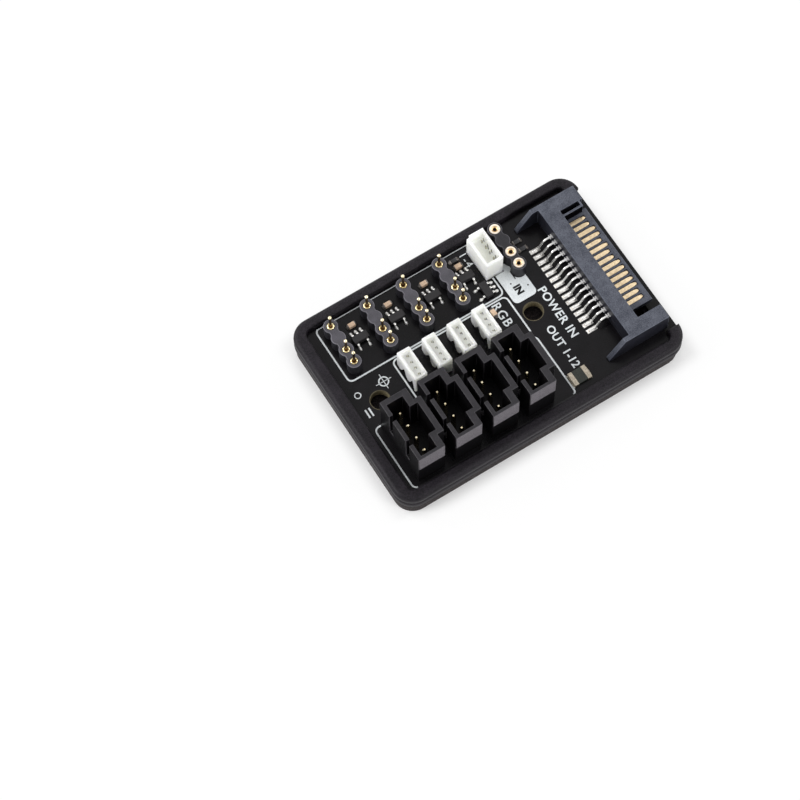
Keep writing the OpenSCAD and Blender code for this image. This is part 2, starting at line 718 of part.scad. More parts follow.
module input_housing() {
    x1 = input_x0 + input_w;
    step_x = 0.7;
    step_y = 0.4;
    key = 0.7;
    top = board_top + input_h;
    lead_in = 0.45;
    color([0.93, 0.93, 0.91]) difference() {
        white_housing(input_x0, input_y0, x1, input_y1, input_h, input_contact_x());
        block(input_x0 - cut, input_y1 - step_y, input_x0 + step_x, input_y1 + cut,
            board_top - cut, top + cut);
        translate([x1, input_y0, board_top - cut]) rotate(45)
            translate([-key / 2, -key, 0]) cube([key, 2 * key, input_h + 2 * cut]);
        // Sloped mouth along the back wall
        translate([input_x0 + back_wall, input_y0 + thin_wall, top]) rotate([-90, 0, 0])
            linear_extrude(input_len - thin_wall - back_wall)
                polygon([[cut, -cut], [-lead_in, -cut], [-lead_in, 0], [0, 2 * lead_in], [cut, 2 * lead_in]]);
    }
}

module fine_contacts_at(x, y_mid, h) {
    translate([0, 0, tail_z]) linear_extrude(board_top - tail_z + h - fine_contact_drop)
        fine_contact_slots(x, y_mid, 0);
}

module input_contacts() {
    color([0.72, 0.7, 0.66])
        fine_contacts_at(input_contact_x(), (input_y0 + input_y1) / 2, input_h);
}

// An arched cut into the back wall's foot
module foot_cut(x, y) {
    arch_z = foot_cut_h - foot_cut_w / 2;
    translate([x - cut, y, board_top]) {
        translate([0, -foot_cut_w / 2, -cut]) cube([cut + foot_cut_depth, foot_cut_w, arch_z + cut]);
        translate([0, 0, arch_z]) rotate([0, 90, 0]) cylinder(d = foot_cut_w, h = cut + foot_cut_depth);
    }
}

module small_housing(i) {
    x0 = small_x(i) - small_w / 2;
    mid = (small_y0 + small_y1) / 2;
    color([0.92, 0.92, 0.89]) difference() {
        white_housing(x0, small_y0, x0 + small_w, small_y1, small_h, small_contact_x(i));
        for (side = [-1, 1])
            foot_cut(x0, mid + side * foot_cut_pitch / 2);
    }
}

module small_contacts(i) {
    color([0.72, 0.7, 0.66])
        fine_contacts_at(small_contact_x(i), (small_y0 + small_y1) / 2, small_h);
}

module shroud(i) {
    x = shroud_x(i);
    x0 = x - shroud_back;
    x1 = x + shroud_front;
    bulge_y0 = shroud_mid_y - bulge_len / 2;
    bulge_y1 = shroud_mid_y + bulge_len / 2;
    color([0.1, 0.1, 0.11]) difference() {
        union() {
            block(x0, shroud_y0, x1, shroud_y1, board_top, shroud_top);
            block(x0, bulge_y0, x1 + bulge_reach, bulge_y1, board_top, shroud_top);
        }
        block(x0 + slot_wall, shroud_y0 + near_wall, x1 - front_wall, shroud_y1 - far_wall,
            board_top + shroud_floor, shroud_top + cut);
        block(x0 + slot_wall, bulge_y0 + bulge_side, x1 + bulge_reach - bulge_wall, bulge_y1 - bulge_side,
            board_top + shroud_floor, shroud_top + cut);
        for (side = [-1, 1])
            translate([x0 - cut, shroud_mid_y + side * slot_pitch / 2 - slot_w / 2, shroud_top - slot_depth])
                cube([slot_wall + 2 * cut, slot_w, slot_depth + cut]);
        block(x0 - cut, shroud_y0 - cut, x1 + cut, shroud_y0 + recess_depth,
            board_top - cut, shroud_top - recess_band);
        for (k = [0 : shroud_pins - 1])
            translate([x - post_w / 2 - tail_gap, shroud_pin_y0 + k * shroud_pitch - post_w / 2 - tail_gap,
                board_top - cut])
                cube([post_w + 2 * tail_gap, post_w + 2 * tail_gap, shroud_floor + 2 * cut]);
    }
}

// A square pin with a blunt tapered tip, from its tail up
module square_post() {
    taper_z = board_top + post_h - post_taper;
    half = post_w / 2;
    tip = post_w / 4;
    profile = [[-half, tail_z], [half, tail_z], [half, taper_z], [tip, taper_z + post_taper],
        [-tip, taper_z + post_taper], [-half, taper_z]];
    intersection() {
        translate([0, half, 0]) rotate([90, 0, 0]) linear_extrude(post_w) polygon(profile);
        translate([-half, 0, 0]) rotate([90, 0, 90]) linear_extrude(post_w) polygon(profile);
    }
}

module shroud_pins_at(i) {
    color([0.85, 0.78, 0.55])
        for (k = [0 : shroud_pins - 1])
            translate([shroud_x(i), shroud_pin_y0 + k * shroud_pitch, 0]) square_post();
}

// A rear wing: level behind the block, then sloping down to its tip
module rear_wing(y0) {
    translate([0, y0 + wing_t, 0]) rotate([90, 0, 0]) linear_extrude(wing_t)
        polygon([
            [block_x0 + cut, board_top], [block_x0 + cut, plug_top],
            [block_x0 - wing_flat, plug_top], [block_x0 - wing_len, board_top + wing_tip_h],
            [block_x0 - wing_len, board_top]]);
}

module power_plug() {
    tongue_bottom = tongue_top - tongue_t;
    web_x = arm_x1 - web_setback;
    groove_w = contact_w + 2 * tail_gap;
    contact_bottom = contact_top - contact_t;
    color([0.27, 0.29, 0.34]) difference() {
        union() {
            block(block_x0, plug_y0, block_x1, plug_y1, board_top, plug_top);
            block(block_x1, plug_y0, arm_x1, near_arm_y, board_top, plug_top);
            block(block_x1, far_arm_y, arm_x1, plug_y1, board_top, plug_top);
            block(block_x1, tongue_y0, tongue_x1, tongue_y1, tongue_bottom, tongue_top);
            block(block_x1, tongue_y1 - rib_t, web_x, tongue_y1, tongue_bottom, plug_top);
            block(web_x - web_t, tongue_y1 - rib_t, web_x, far_arm_y + cut, tongue_bottom, plug_top);
            rear_wing(plug_y0);
            rear_wing(plug_y1 - wing_t);
        }
        for (i = [0 : contacts - 1]) {
            tip_x = contact_tip_x(i) + tail_gap;
            block(block_x0 - cut, contact_y(i) - groove_w / 2, block_x1, contact_y(i) + groove_w / 2,
                contact_bottom, contact_top + tail_gap);
            block(block_x1 - cut, contact_y(i) - groove_w / 2, tip_x, contact_y(i) + groove_w / 2,
                contact_bottom, tongue_top + cut);
        }
    }
}

function contact_tip_x(i) = tongue_x1 - (contact_is_long[i] == 1 ? long_tip : short_tip);

// Plan of a contact from the shoulder outside the block to the rounded tip on the tongue
module contact_plan(tip_x) {
    r = contact_w / 2;
    translate([block_x0, -r]) square([tip_x - r - block_x0, contact_w]);
    translate([tip_x - r, 0]) circle(r);
    translate([block_x0 - lead_shoulder, -lead_shoulder_w / 2]) square([lead_shoulder, lead_shoulder_w]);
}

// Side view of a soldered lead: level out of the block, down a slope and along its pad
module lead_side() {
    t = contact_t;
    level_x = block_x0 - lead_level;
    toe_x = pad_x0 + foot_margin;
    heel_x = toe_x + lead_foot;
    foot_z = board_top + pad_t;
    high_z = contact_top;
    polygon([
        [block_x0 - lead_shoulder / 2, high_z], [level_x - t / 4, high_z],
        [heel_x - t / 2, foot_z + t], [toe_x, foot_z + t], [toe_x, foot_z],
        [heel_x + t / 4, foot_z], [level_x + t / 4, high_z - t],
        [block_x0 - lead_shoulder / 2, high_z - t]]);
}

module power_contacts() {
    color([0.9, 0.82, 0.62])
        for (i = [0 : contacts - 1])
            translate([0, contact_y(i), 0]) {
                translate([0, 0, contact_top - contact_t]) linear_extrude(contact_t)
                    contact_plan(contact_tip_x(i));
                translate([0, lead_w / 2, 0]) rotate([90, 0, 0]) linear_extrude(lead_w) lead_side();
            }
}

module solder_pads() {
    color([0.8, 0.8, 0.78])
        for (i = [0 : contacts - 1])
            block(pad_x0, contact_y(i) - contact_w / 2, pad_x1, contact_y(i) + contact_w / 2,
                board_top, board_top + pad_t);
}

// Body of a five-legged chip, centred on the origin, with its three-legged side at +Y
module chip_body() {
    bevel = 0.12;
    waist = chip_h / 2;
    half = chip_w / 2;
    translate([-chip_len / 2, 0, board_top + chip_standoff]) rotate([90, 0, 90]) linear_extrude(chip_len)
        polygon([
            [-half + bevel, 0], [half - bevel, 0], [half, waist], [half - bevel, chip_h],
            [-half + bevel, chip_h], [-half, waist]]);
}

// A bent leg that leaves the chip's side at its waist and ends flat on the board
module chip_leg() {
    root = chip_w / 2;
    waist = board_top + chip_standoff + chip_h / 2;
    bend = root + leg_level;
    knee = bend + leg_slope;
    toe = root + leg_reach;
    translate([-leg_w / 2, 0, 0]) rotate([90, 0, 90]) linear_extrude(leg_w)
        polygon([
            [root, waist], [bend, waist], [knee - leg_t / 2, board_top], [toe, board_top],
            [toe, board_top + leg_t], [knee + leg_t / 2, board_top + leg_t],
            [bend + leg_t / 2, waist + leg_t], [root, waist + leg_t]]);
}

module chip_leg_set() {
    difference() {
        union() {
            for (k = [-1, 0, 1])
                translate([k * leg_pitch, 0, 0]) chip_leg();
            for (k = [-1, 1])
                rotate(180) translate([k * leg_pitch, 0, 0]) chip_leg();
        }
        chip_body();
    }
}

module driver_chip(i) {
    color([0.12, 0.115, 0.12]) translate([chip_x(i), chip_y, 0]) chip_body();
}

module driver_legs(i) {
    color([0.82, 0.82, 0.8]) translate([chip_x(i), chip_y, 0]) chip_leg_set();
}

module input_chip() {
    color([0.12, 0.115, 0.12]) translate(input_chip_place) rotate(-90) chip_body();
}

module input_chip_legs() {
    color([0.82, 0.82, 0.8]) translate(input_chip_place) rotate(-90) chip_leg_set();
}

// The middle of a small flat part
module part_middle(place, l, w, h, end) {
    inner = l - 2 * end;
    translate([place[0] - inner / 2, place[1] - w / 2, board_top]) cube([inner, w, h]);
}

// The two metal ends of a small flat part
module part_ends(place, l, w, h, end) {
    for (side = [-1, 1])
        translate([place[0] + side * (l - end) / 2 - end / 2, place[1] - w / 2, board_top])
            cube([end, w, h]);
}

module capacitor_bodies() {
    color([0.62, 0.53, 0.42])
        for (p = cap_places) part_middle(p, cap_len, cap_w, cap_h, end_cap);
}

module capacitor_ends() {
    color([0.8, 0.79, 0.76])
        for (p = cap_places) part_ends(p, cap_len, cap_w, cap_h, end_cap);
}

module resistor_bodies() {
    color([0.14, 0.14, 0.15])
        for (p = res_places) part_middle(p, res_len, res_w, res_h, end_cap);
}

module resistor_ends() {
    color([0.8, 0.79, 0.76])
        for (p = res_places) part_ends(p, res_len, res_w, res_h, end_cap);
}

module fuse_body() {
    color([0.13, 0.14, 0.12]) part_middle(fuse_place, fuse_len, fuse_w, fuse_h, fuse_end);
}

module fuse_ends() {
    color([0.66, 0.62, 0.56]) part_ends(fuse_place, fuse_len, fuse_w, fuse_h, fuse_end);
}

// A printed line around a box with rounded corners
module box_line(b) {
    half = line_w / 2;
    difference() {
        rounded_area(b[0] - half, b[1] - half, b[2] + half, b[3] + half, box_r + half);
        rounded_area(b[0] + half, b[1] + half, b[2] - half, b[3] - half, box_r - half);
    }
}

// Ground that the print keeps clear of: the feet of the parts that stand on the board
module print_clearance() {
    g = print_gap;
    translate([input_x0 - g, input_y0 - g]) square([input_w + 2 * g, input_len + 2 * g]);
    translate([input_strip_x, input_strip_y0]) {
        for (k = [0 : strip_slots - 1])
            translate([0, k * strip_pitch]) circle(d = lobe_d + 2 * g);
        translate([-waist_w / 2 - g, 0]) square([waist_w + 2 * g, strip_span]);
    }
}

// Ground under a shrouded header, with the bulge
module shroud_clearance(i) {
    g = print_gap;
    x0 = shroud_x(i) - shroud_back - g;
    x1 = shroud_x(i) + shroud_front + g;
    translate([x0, shroud_y0 - g]) square([x1 - x0, shroud_len + 2 * g]);
    translate([x0, shroud_mid_y - bulge_len / 2 - g]) square([x1 + bulge_reach - x0, bulge_len + 2 * g]);
}

module printed_lines() {
    color([0.85, 0.87, 0.86]) translate([0, 0, board_top]) linear_extrude(print_t) {
        difference() {
            box_line(strip_box);
            print_clearance();
        }
        // The middle box is open towards the shrouded headers
        difference() {
            box_line([small_box[0], small_box[1] - 2 * box_r, small_box[2], small_box[3]]);
            translate([small_box[0] - line_w, small_box[1] - 3 * box_r])
                square([small_box[2] - small_box[0] + 2 * line_w, 3 * box_r]);
        }
        difference() {
            box_line(shroud_box);
            for (i = [0 : columns - 1]) shroud_clearance(i);
        }
    }
}

module printed_patch() {
    color([0.84, 0.88, 0.86]) translate([0, 0, board_top]) linear_extrude(print_t)
        difference() {
            rounded_area(patch[0], patch[1], patch[2], patch[3], box_r);
            print_clearance();
        }
}

tray();
circuit_board();
for (i = [0 : columns - 1]) {
    strip_body(i);
    strip_pins(i);
    small_housing(i);
    small_contacts(i);
    shroud(i);
    shroud_pins_at(i);
    driver_chip(i);
    driver_legs(i);
}
input_strip_body();
input_strip_sockets();
input_housing();
input_contacts();
power_plug();
power_contacts();
solder_pads();
input_chip();
input_chip_legs();
capacitor_bodies();
capacitor_ends();
resistor_bodies();
resistor_ends();
fuse_body();
fuse_ends();
printed_lines();
printed_patch();
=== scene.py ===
import math
import random
import bmesh
import bpy
from mathutils import Matrix, Vector


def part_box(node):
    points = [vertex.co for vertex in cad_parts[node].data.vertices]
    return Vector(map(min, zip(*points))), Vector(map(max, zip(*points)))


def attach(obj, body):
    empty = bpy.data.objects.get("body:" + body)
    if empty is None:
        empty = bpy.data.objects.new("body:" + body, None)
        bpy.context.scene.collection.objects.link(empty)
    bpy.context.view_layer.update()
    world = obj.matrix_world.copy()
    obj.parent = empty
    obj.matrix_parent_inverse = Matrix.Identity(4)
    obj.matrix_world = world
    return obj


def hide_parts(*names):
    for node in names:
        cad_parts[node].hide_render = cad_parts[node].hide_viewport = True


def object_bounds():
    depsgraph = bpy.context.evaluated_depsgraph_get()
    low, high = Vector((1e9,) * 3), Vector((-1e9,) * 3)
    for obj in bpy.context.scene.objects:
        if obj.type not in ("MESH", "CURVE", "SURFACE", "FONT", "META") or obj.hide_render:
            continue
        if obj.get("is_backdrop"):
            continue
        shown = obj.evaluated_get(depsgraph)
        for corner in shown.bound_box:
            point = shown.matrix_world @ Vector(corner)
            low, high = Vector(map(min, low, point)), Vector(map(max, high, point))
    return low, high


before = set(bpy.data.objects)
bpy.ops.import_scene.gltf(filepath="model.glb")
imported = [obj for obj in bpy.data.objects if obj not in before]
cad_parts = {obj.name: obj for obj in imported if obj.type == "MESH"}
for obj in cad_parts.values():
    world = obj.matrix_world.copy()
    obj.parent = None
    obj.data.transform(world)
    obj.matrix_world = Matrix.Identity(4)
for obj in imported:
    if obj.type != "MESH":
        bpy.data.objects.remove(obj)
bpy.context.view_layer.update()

# Shapes are built in millimetres in the frame of the CAD, and scaled to metres when they are dressed
mm = 0.001
random.seed(23)
scene = bpy.context.scene
scene.view_settings.view_transform = "Standard"


def spanOf(node):
    # Lowest and highest corner of a CAD node, in millimetres
    low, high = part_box(node)
    return low / mm, high / mm


def tint(red, green, blue):
    # Screen values from 0 to 255 as a linear colour
    linear = []
    for value in (red / 255, green / 255, blue / 255):
        linear.append(value / 12.92 if value <= 0.04045 else ((value + 0.055) / 1.055) ** 2.4)
    return (*linear, 1.0)


def put(name, data):
    # A new object in the scene
    made = bpy.data.objects.new(name, data)
    scene.collection.objects.link(made)
    return made


boardTop = spanOf("circuit_board")[1].z
columns = range(1, 5)


class Wire:
    # One output of a node; sums and products of wires add their own Math nodes
    def __init__(self, wiring, socket):
        self.wiring = wiring
        self.socket = socket

    def reckon(self, operation, first, second=0.0):
        return self.wiring.node("Math", {"operation": operation}, {0: first, 1: second})

    def __add__(self, other):
        return self.reckon("ADD", self, other)

    def __radd__(self, other):
        return self.reckon("ADD", other, self)

    def __sub__(self, other):
        return self.reckon("SUBTRACT", self, other)

    def __rsub__(self, other):
        return self.reckon("SUBTRACT", other, self)

    def __mul__(self, other):
        return self.reckon("MULTIPLY", self, other)

    def __rmul__(self, other):
        return self.reckon("MULTIPLY", other, self)

    def __pow__(self, other):
        return self.reckon("POWER", self, other)

    def __lt__(self, other):
        return self.reckon("LESS_THAN", self, other)

    def __gt__(self, other):
        return self.reckon("GREATER_THAN", self, other)


class Wiring:
    # A node tree, with one method that makes any node
    def __init__(self, tree):
        self.tree = tree
        self.tree.nodes.clear()

    def node(self, kind, settings, sockets, output=0):
        made = self.tree.nodes.new("ShaderNode" + kind)
        for name, value in settings.items():
            setattr(made, name, value)
        for name, value in sockets.items():
            if isinstance(value, Wire):
                self.tree.links.new(value.socket, made.inputs[name])
            else:
                made.inputs[name].default_value = value
        return Wire(self, made.outputs[output] if len(made.outputs) else None)

    def ease(self, value, low, high):
        # 0 below low, 1 above high, and a smooth step between
        return self.node("MapRange", {"interpolation_type": "SMOOTHSTEP"},
                         {"Value": value, "From Min": low, "From Max": high})

    def blend(self, share, first, second):
        return self.node("Mix", {"data_type": "RGBA"}, {0: share, 6: first, 7: second}, 2)

    def seen(self):
        # 1 for what the camera sees, straight or in gloss or glass
        rays = [self.node("LightPath", {}, {}, ray)
                for ray in ("Is Camera Ray", "Is Glossy Ray", "Is Transmission Ray")]
        total = rays[0] + rays[1] + rays[2]
        return total.reckon("MINIMUM", total, 1.0)


class Finish(Wiring):
    # A material with its Principled shader, and textures that are measured in millimetres
    def __init__(self, name, look):
        self.look = look
        self.material = bpy.data.materials.new(name)
        self.material.use_nodes = True
        super().__init__(self.material.node_tree)
        self.shader = self.tree.nodes.new("ShaderNodeBsdfPrincipled")
        self.node("OutputMaterial", {}, {"Surface": Wire(self, self.shader.outputs[0])})
        self.feed({"Specular IOR Level": look.get("spec", 0.5), "Metallic": look.get("metal", 0.0)})
        self.feed(look.get("more", {}))
        spot = self.node("TexCoord", {}, {}, "Object")
        self.place = self.node("VectorMath", {"operation": "SCALE"}, {0: spot, "Scale": 1 / mm})
        self.axes = [self.node("SeparateXYZ", {}, {0: self.place}, axis) for axis in range(3)]

    def feed(self, values):
        for name, value in values.items():
            if isinstance(value, Wire):
                self.tree.links.new(value.socket, self.shader.inputs[name])
            else:
                self.shader.inputs[name].default_value = value

    def noise(self, size, detail=3.0, rough=0.55):
        return self.node("TexNoise", {},
                         {"Vector": self.place, "Scale": 1 / size, "Detail": detail, "Roughness": rough})

    def grain(self):
        return self.noise(self.look["grain"], mottle["detail"], mottle["rough"])

    def dot(self, x, y, radius, blur=0.04):
        # 1 inside a round spot on the board, 0 outside
        away = ((self.axes[0] - x) ** 2.0 + (self.axes[1] - y) ** 2.0) ** 0.5
        return 1 - self.ease(away, radius - blur, radius + blur)

    def shade(self, value, span, dark, light):
        # From dark to light while the value passes through the span
        return self.blend(self.ease(value, *span), tint(*dark), tint(*light))

    def surface(self, colour, rough, height):
        bump = self.node("Bump", {}, {"Height": height, "Strength": self.look["bump"],
                                      "Distance": self.look["depth"] * mm})
        self.feed({"Base Color": colour, "Roughness": rough, "Normal": bump})
        return self.material


mottle = {"detail": 4.0, "rough": 0.6, "drift": 14, "share": 0.65, "span": (0.36, 0.64)}


def mottled(name, look):
    # Two close tones in a grain, with a slow drift over them and a bump of the same grain
    finish = Finish(name, look)
    grain = finish.grain()
    drift = finish.noise(look["grain"] * mottle["drift"], 2.0)
    mixed = grain * mottle["share"] + drift * (1 - mottle["share"])
    return finish.surface(finish.shade(mixed, mottle["span"], look["dark"], look["light"]),
                          (drift - 0.5) * look["uneven"] + look["rough"], grain)


class Shape:
    # Points and faces in millimetres, gathered until they become a piece
    def __init__(self):
        self.points = []
        self.faces = []
        self.marks = []

    def face(self, corners, mark=0):
        self.faces.append(corners)
        self.marks.append(mark)

    def loft(self, rings, mark=0, caps=(True, True), markOf=None):
        # Joins rings of equal count into a skin; the lids take mark
        start = len(self.points)
        count = len(rings[0])
        for ring in rings:
            self.points.extend(ring)
        for step in range(len(rings) - 1):
            own = mark if markOf is None else markOf(step)
            for k in range(count):
                a = start + step * count + k
                b = start + step * count + (k + 1) % count
                self.face((a, b, b + count, a + count), own)
        if caps[0]:
            self.face(tuple(start + k for k in reversed(range(count))), mark)
        if caps[1]:
            last = start + (len(rings) - 1) * count
            self.face(tuple(last + k for k in range(count)), mark)

    def turn(self, x, y, profile, steps=28, markOf=None):
        # Spins a profile of radius and height about an upright axis
        rings = []
        for radius, z in profile:
            rings.append([(x + radius * math.cos(math.tau * k / steps),
                           y + radius * math.sin(math.tau * k / steps), z) for k in range(steps)])
        self.loft(rings, caps=(profile[0][0] > 0, profile[-1][0] > 0), markOf=markOf)

    def piece(self, name, looks=()):
        mesh = bpy.data.meshes.new(name)
        mesh.from_pydata([tuple(point) for point in self.points], [], self.faces)
        for look in looks:
            mesh.materials.append(finishes[look])
        mesh.polygons.foreach_set("material_index", self.marks)
        work = bmesh.new()
        work.from_mesh(mesh)
        bmesh.ops.remove_doubles(work, verts=work.verts, dist=0.0005)
        bmesh.ops.dissolve_degenerate(work, edges=work.edges, dist=0.0002)
        bmesh.ops.recalc_face_normals(work, faces=work.faces)
        work.to_mesh(mesh)
        work.free()
        return put(name, mesh)


def sweep(start, end, steps):
    # Even steps from one angle to another, given in degrees
    return [math.radians(start + (end - start) * step / steps) for step in range(steps + 1)]


def plateRing(low, high, corner, z, steps=8):
    # A rounded rectangle between two corner points, anticlockwise
    ring = []
    middles = ((high[0] - corner, low[1] + corner, -90), (high[0] - corner, high[1] - corner, 0),
               (low[0] + corner, high[1] - corner, 90), (low[0] + corner, low[1] + corner, 180))
    for x, y, start in middles:
        for angle in sweep(start, start + 90, steps):
            ring.append((x + corner * math.cos(angle), y + corner * math.sin(angle), z))
    return ring


def softEdge(radius, top, steps=3):
    # Insets and heights of a rounded edge, from the side up to the top
    return [(radius * (1 - math.cos(angle)), top - radius * (1 - math.sin(angle)))
            for angle in sweep(0, 90, steps)]


def roundedBox(shape, low, high, radius):
    # A block with rounded upright edges and a rounded top
    rings = [(0, low[2])] + softEdge(radius, high[2])
    shape.loft([plateRing((low[0] + inset, low[1] + inset), (high[0] - inset, high[1] - inset),
                          max(radius * 1.2 - inset, radius * 0.25), z, 3) for inset, z in rings])


def bentPath(points, radius, steps=6):
    # Rounds the corners of a path in a plane
    path = [Vector(points[0])]
    for before, corner, after in zip(points, points[1:], points[2:]):
        corner = Vector(corner)
        back = Vector(before) - corner
        ahead = Vector(after) - corner
        reach = min(radius, back.length * 0.45, ahead.length * 0.45)
        start = corner + back.normalized() * reach
        end = corner + ahead.normalized() * reach
        for step in range(steps + 1):
            t = step / steps
            path.append(start.lerp(corner, t).lerp(corner.lerp(end, t), t))
    path.append(Vector(points[-1]))
    return path


def strip(shape, path, thickness, origin, heading, markOf=None):
    # Sheet metal along a path of (along, height, width), with its edges eased
    ease = min(thickness * 0.25, 0.05)
    rings = []
    for k, (along, height, width) in enumerate(path):
        ahead = path[min(k + 1, len(path) - 1)]
        behind = path[max(k - 1, 0)]
        run = Vector((ahead[0] - behind[0], ahead[1] - behind[1])).normalized()
        w = width / 2
        t = thickness / 2
        ring = []
        for side, out in ((w - ease, t), (w, t - ease), (w, ease - t), (w - ease, -t),
                          (ease - w, -t), (-w, ease - t), (-w, t - ease), (ease - w, t)):
            a = along - run.y * out
            z = height + run.x * out
            ring.append((origin[0] + heading[0] * a - heading[1] * side,
                         origin[1] + heading[1] * a + heading[0] * side, z))
        rings.append(ring)
    shape.loft(rings, markOf=markOf)


def mound(shape, x, y, halfX, halfY, base, height, fullness=2.6, dimple=None, mark=0):
    # A bead of solder over a rounded rectangle; dimple is (x, y, size, depth)
    rounds = 7
    around = 28
    rings = []
    for step in range(rounds + 1):
        reach = 1 - step / rounds
        ring = []
        for k in range(around):
            angle = math.tau * k / around
            c, s = math.cos(angle), math.sin(angle)
            px = x + halfX * reach * math.copysign(abs(c) ** (2 / fullness), c)
            py = y + halfY * reach * math.copysign(abs(s) ** (2 / fullness), s)
            pz = base + height * (1 - reach ** fullness) ** 0.6
            if dimple:
                away = ((px - dimple[0]) ** 2 + (py - dimple[1]) ** 2) / dimple[2] ** 2
                pz = max(base, pz - dimple[3] * math.exp(-away))
            ring.append((px, py, pz))
        rings.append(ring)
    shape.loft(rings, mark, (True, False))


def settled(piece):
    # The mesh that a piece has with its modifiers
    bpy.context.view_layer.update()
    return bpy.data.meshes.new_from_object(piece.evaluated_get(bpy.context.evaluated_depsgraph_get()))


def applyAll(piece):
    mesh = settled(piece)
    piece.modifiers.clear()
    piece.data = mesh


def carve(piece, cutters):
    # Takes the cutters' shapes out of a piece
    for cutter in cutters:
        step = piece.modifiers.new("carve", "BOOLEAN")
        step.operation = "DIFFERENCE"
        step.solver = "EXACT"
        step.object = cutter
    applyAll(piece)
    for cutter in cutters:
        bpy.data.objects.remove(cutter)


def softCopy(name, node, looks, width, chosen, markOf=lambda face: 0):
    # The CAD solid's form with rounded edges where chosen(middle of the edge) says so
    work = bmesh.new()
    work.from_mesh(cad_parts[node].data)
    bmesh.ops.transform(work, matrix=Matrix.Scale(1 / mm, 4), verts=work.verts)
    bmesh.ops.remove_doubles(work, verts=work.verts, dist=0.002)
    bmesh.ops.dissolve_limit(work, angle_limit=math.radians(0.5), verts=work.verts, edges=work.edges)
    edges = []
    for edge in work.edges:
        if len(edge.link_faces) == 2 and edge.calc_face_angle() > math.radians(25):
            if chosen((edge.verts[0].co + edge.verts[1].co) / 2):
                edges.append(edge)
    for face in work.faces:
        face.material_index = markOf(face)
    if edges:
        bmesh.ops.bevel(work, geom=edges, offset=width, offset_type="OFFSET", segments=2, profile=0.5,
                        affect="EDGES", clamp_overlap=False, material=len(looks) - 1)
    mesh = bpy.data.meshes.new(name)
    work.to_mesh(mesh)
    work.free()
    for look in looks:
        mesh.materials.append(finishes[look])
    return put(name, mesh)


def dress(piece, nodes, sharp=32):
    # Scales a piece to metres, shades it, and puts it on the body in place of its nodes
    piece.data.transform(Matrix.Scale(mm, 4))
    piece.data.shade_smooth()
    piece.data.set_sharp_from_angle(angle=math.radians(sharp))
    step = piece.modifiers.new("evenShading", "WEIGHTED_NORMAL")
    step.keep_sharp = True
    applyAll(piece)
    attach(piece, "root")
    if nodes:
        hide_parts(*nodes)


view = {
    "place": (-105.13, -153.72, 410.54), "lens": 117.795, "sensor": 36.0,
    "right": (0.84808, -0.52957, -0.01780), "ahead": (0.19527, 0.34359, -0.91859)}

camera = put("camera", bpy.data.cameras.new("camera"))
scene.camera = camera
camera.data.lens = view["lens"]
camera.data.sensor_width = view["sensor"]
right = Vector(view["right"]).normalized()
ahead = Vector(view["ahead"]).normalized()
upward = right.cross(ahead)
camera.matrix_world = Matrix.LocRotScale(
    Vector(view["place"]) * mm, Matrix((right, upward, -ahead)).transposed(), None)
camera.data.clip_start = 0.01
camera.data.clip_end = 100

lamps = {
    "leftLamp": {"from": (-0.80, 0.32, 0.52), "size": 0.40, "power": 4.3},
    "rightLamp": {"from": (0.45, -0.80, 0.52), "size": 0.40, "power": 2.7},
    "backLamp": {"from": (0.45, 0.70, 0.75), "size": 0.50, "power": 1.0},
    "glintLeft": {"from": (-0.44, 0.74, 0.50), "size": 0.34, "power": 2.0},
    "glintRight": {"from": (0.84, -0.06, 0.53), "size": 0.34, "power": 2.0}}
sky = {"zenith": 0.62, "horizon": 0.95, "haze": (0.05, 0.75)}
ground = {"half": 6.0, "sink": 0.00002, "tone": (0.95, 0.95, 0.95, 1.0),
          "tray": (0.0285, 0.0191), "fade": (0.0, 0.0032), "lift": (0.15, 0.9)}

for name, lamp in lamps.items():
    light = bpy.data.lights.new(name, "AREA")
    light.size = lamp["size"]
    light.energy = lamp["power"]
    holder = put(name, light)
    holder.location = lamp["from"]
    holder.rotation_mode = "QUATERNION"
    holder.rotation_quaternion = Vector(lamp["from"]).to_track_quat("Z", "Y")

world = bpy.data.worlds.new("studio")
scene.world = world
world.use_nodes = True
studio = Wiring(world.node_tree)
heading = studio.node("TexCoord", {}, {}, "Generated")
rise = studio.node("SeparateXYZ", {}, {0: heading}, 2)
share = studio.ease(rise, sky["haze"][0], sky["haze"][1])
glow = share * (sky["zenith"] - sky["horizon"]) + sky["horizon"]
glow = glow + (1 - glow) * studio.seen()
background = studio.node("Background", {}, {"Color": (1, 1, 1, 1), "Strength": glow})
studio.node("OutputWorld", {}, {"Surface": background})


def makeFloor():
    half = ground["half"]
    mesh = bpy.data.meshes.new("floor")
    mesh.from_pydata([(x, y, -ground["sink"]) for x, y in
                      ((-half, -half), (half, -half), (half, half), (-half, half))], [], [(0, 1, 2, 3)])
    floor = put("floor", mesh)
    material = bpy.data.materials.new("palePaper")
    material.use_nodes = True
    paper = Wiring(material.node_tree)
    matt = paper.node("BsdfDiffuse", {}, {"Color": ground["tone"]})
    white = paper.node("Emission", {}, {"Color": (1, 1, 1, 1), "Strength": 1.0})
    # The paper's own white fades in away from the tray, so that the shadow stays close to it
    spot = paper.node("TexCoord", {}, {}, "Object")
    away = 0.0
    for axis, edge in enumerate(ground["tray"]):
        along = paper.node("SeparateXYZ", {}, {0: spot}, axis)
        beyond = along.reckon("ABSOLUTE", along) - edge
        away = away + beyond.reckon("MAXIMUM", beyond, 0.0) ** 2.0
    near, far = ground["lift"]
    lift = paper.ease(away ** 0.5, *ground["fade"]) * (far - near) + near
    mixed = paper.node("MixShader", {}, {0: paper.seen() * lift, 1: matt, 2: white})
    paper.node("OutputMaterial", {}, {"Surface": mixed})
    mesh.materials.append(material)
    floor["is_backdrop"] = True


makeFloor()
print("camera, lamps and floor are set")


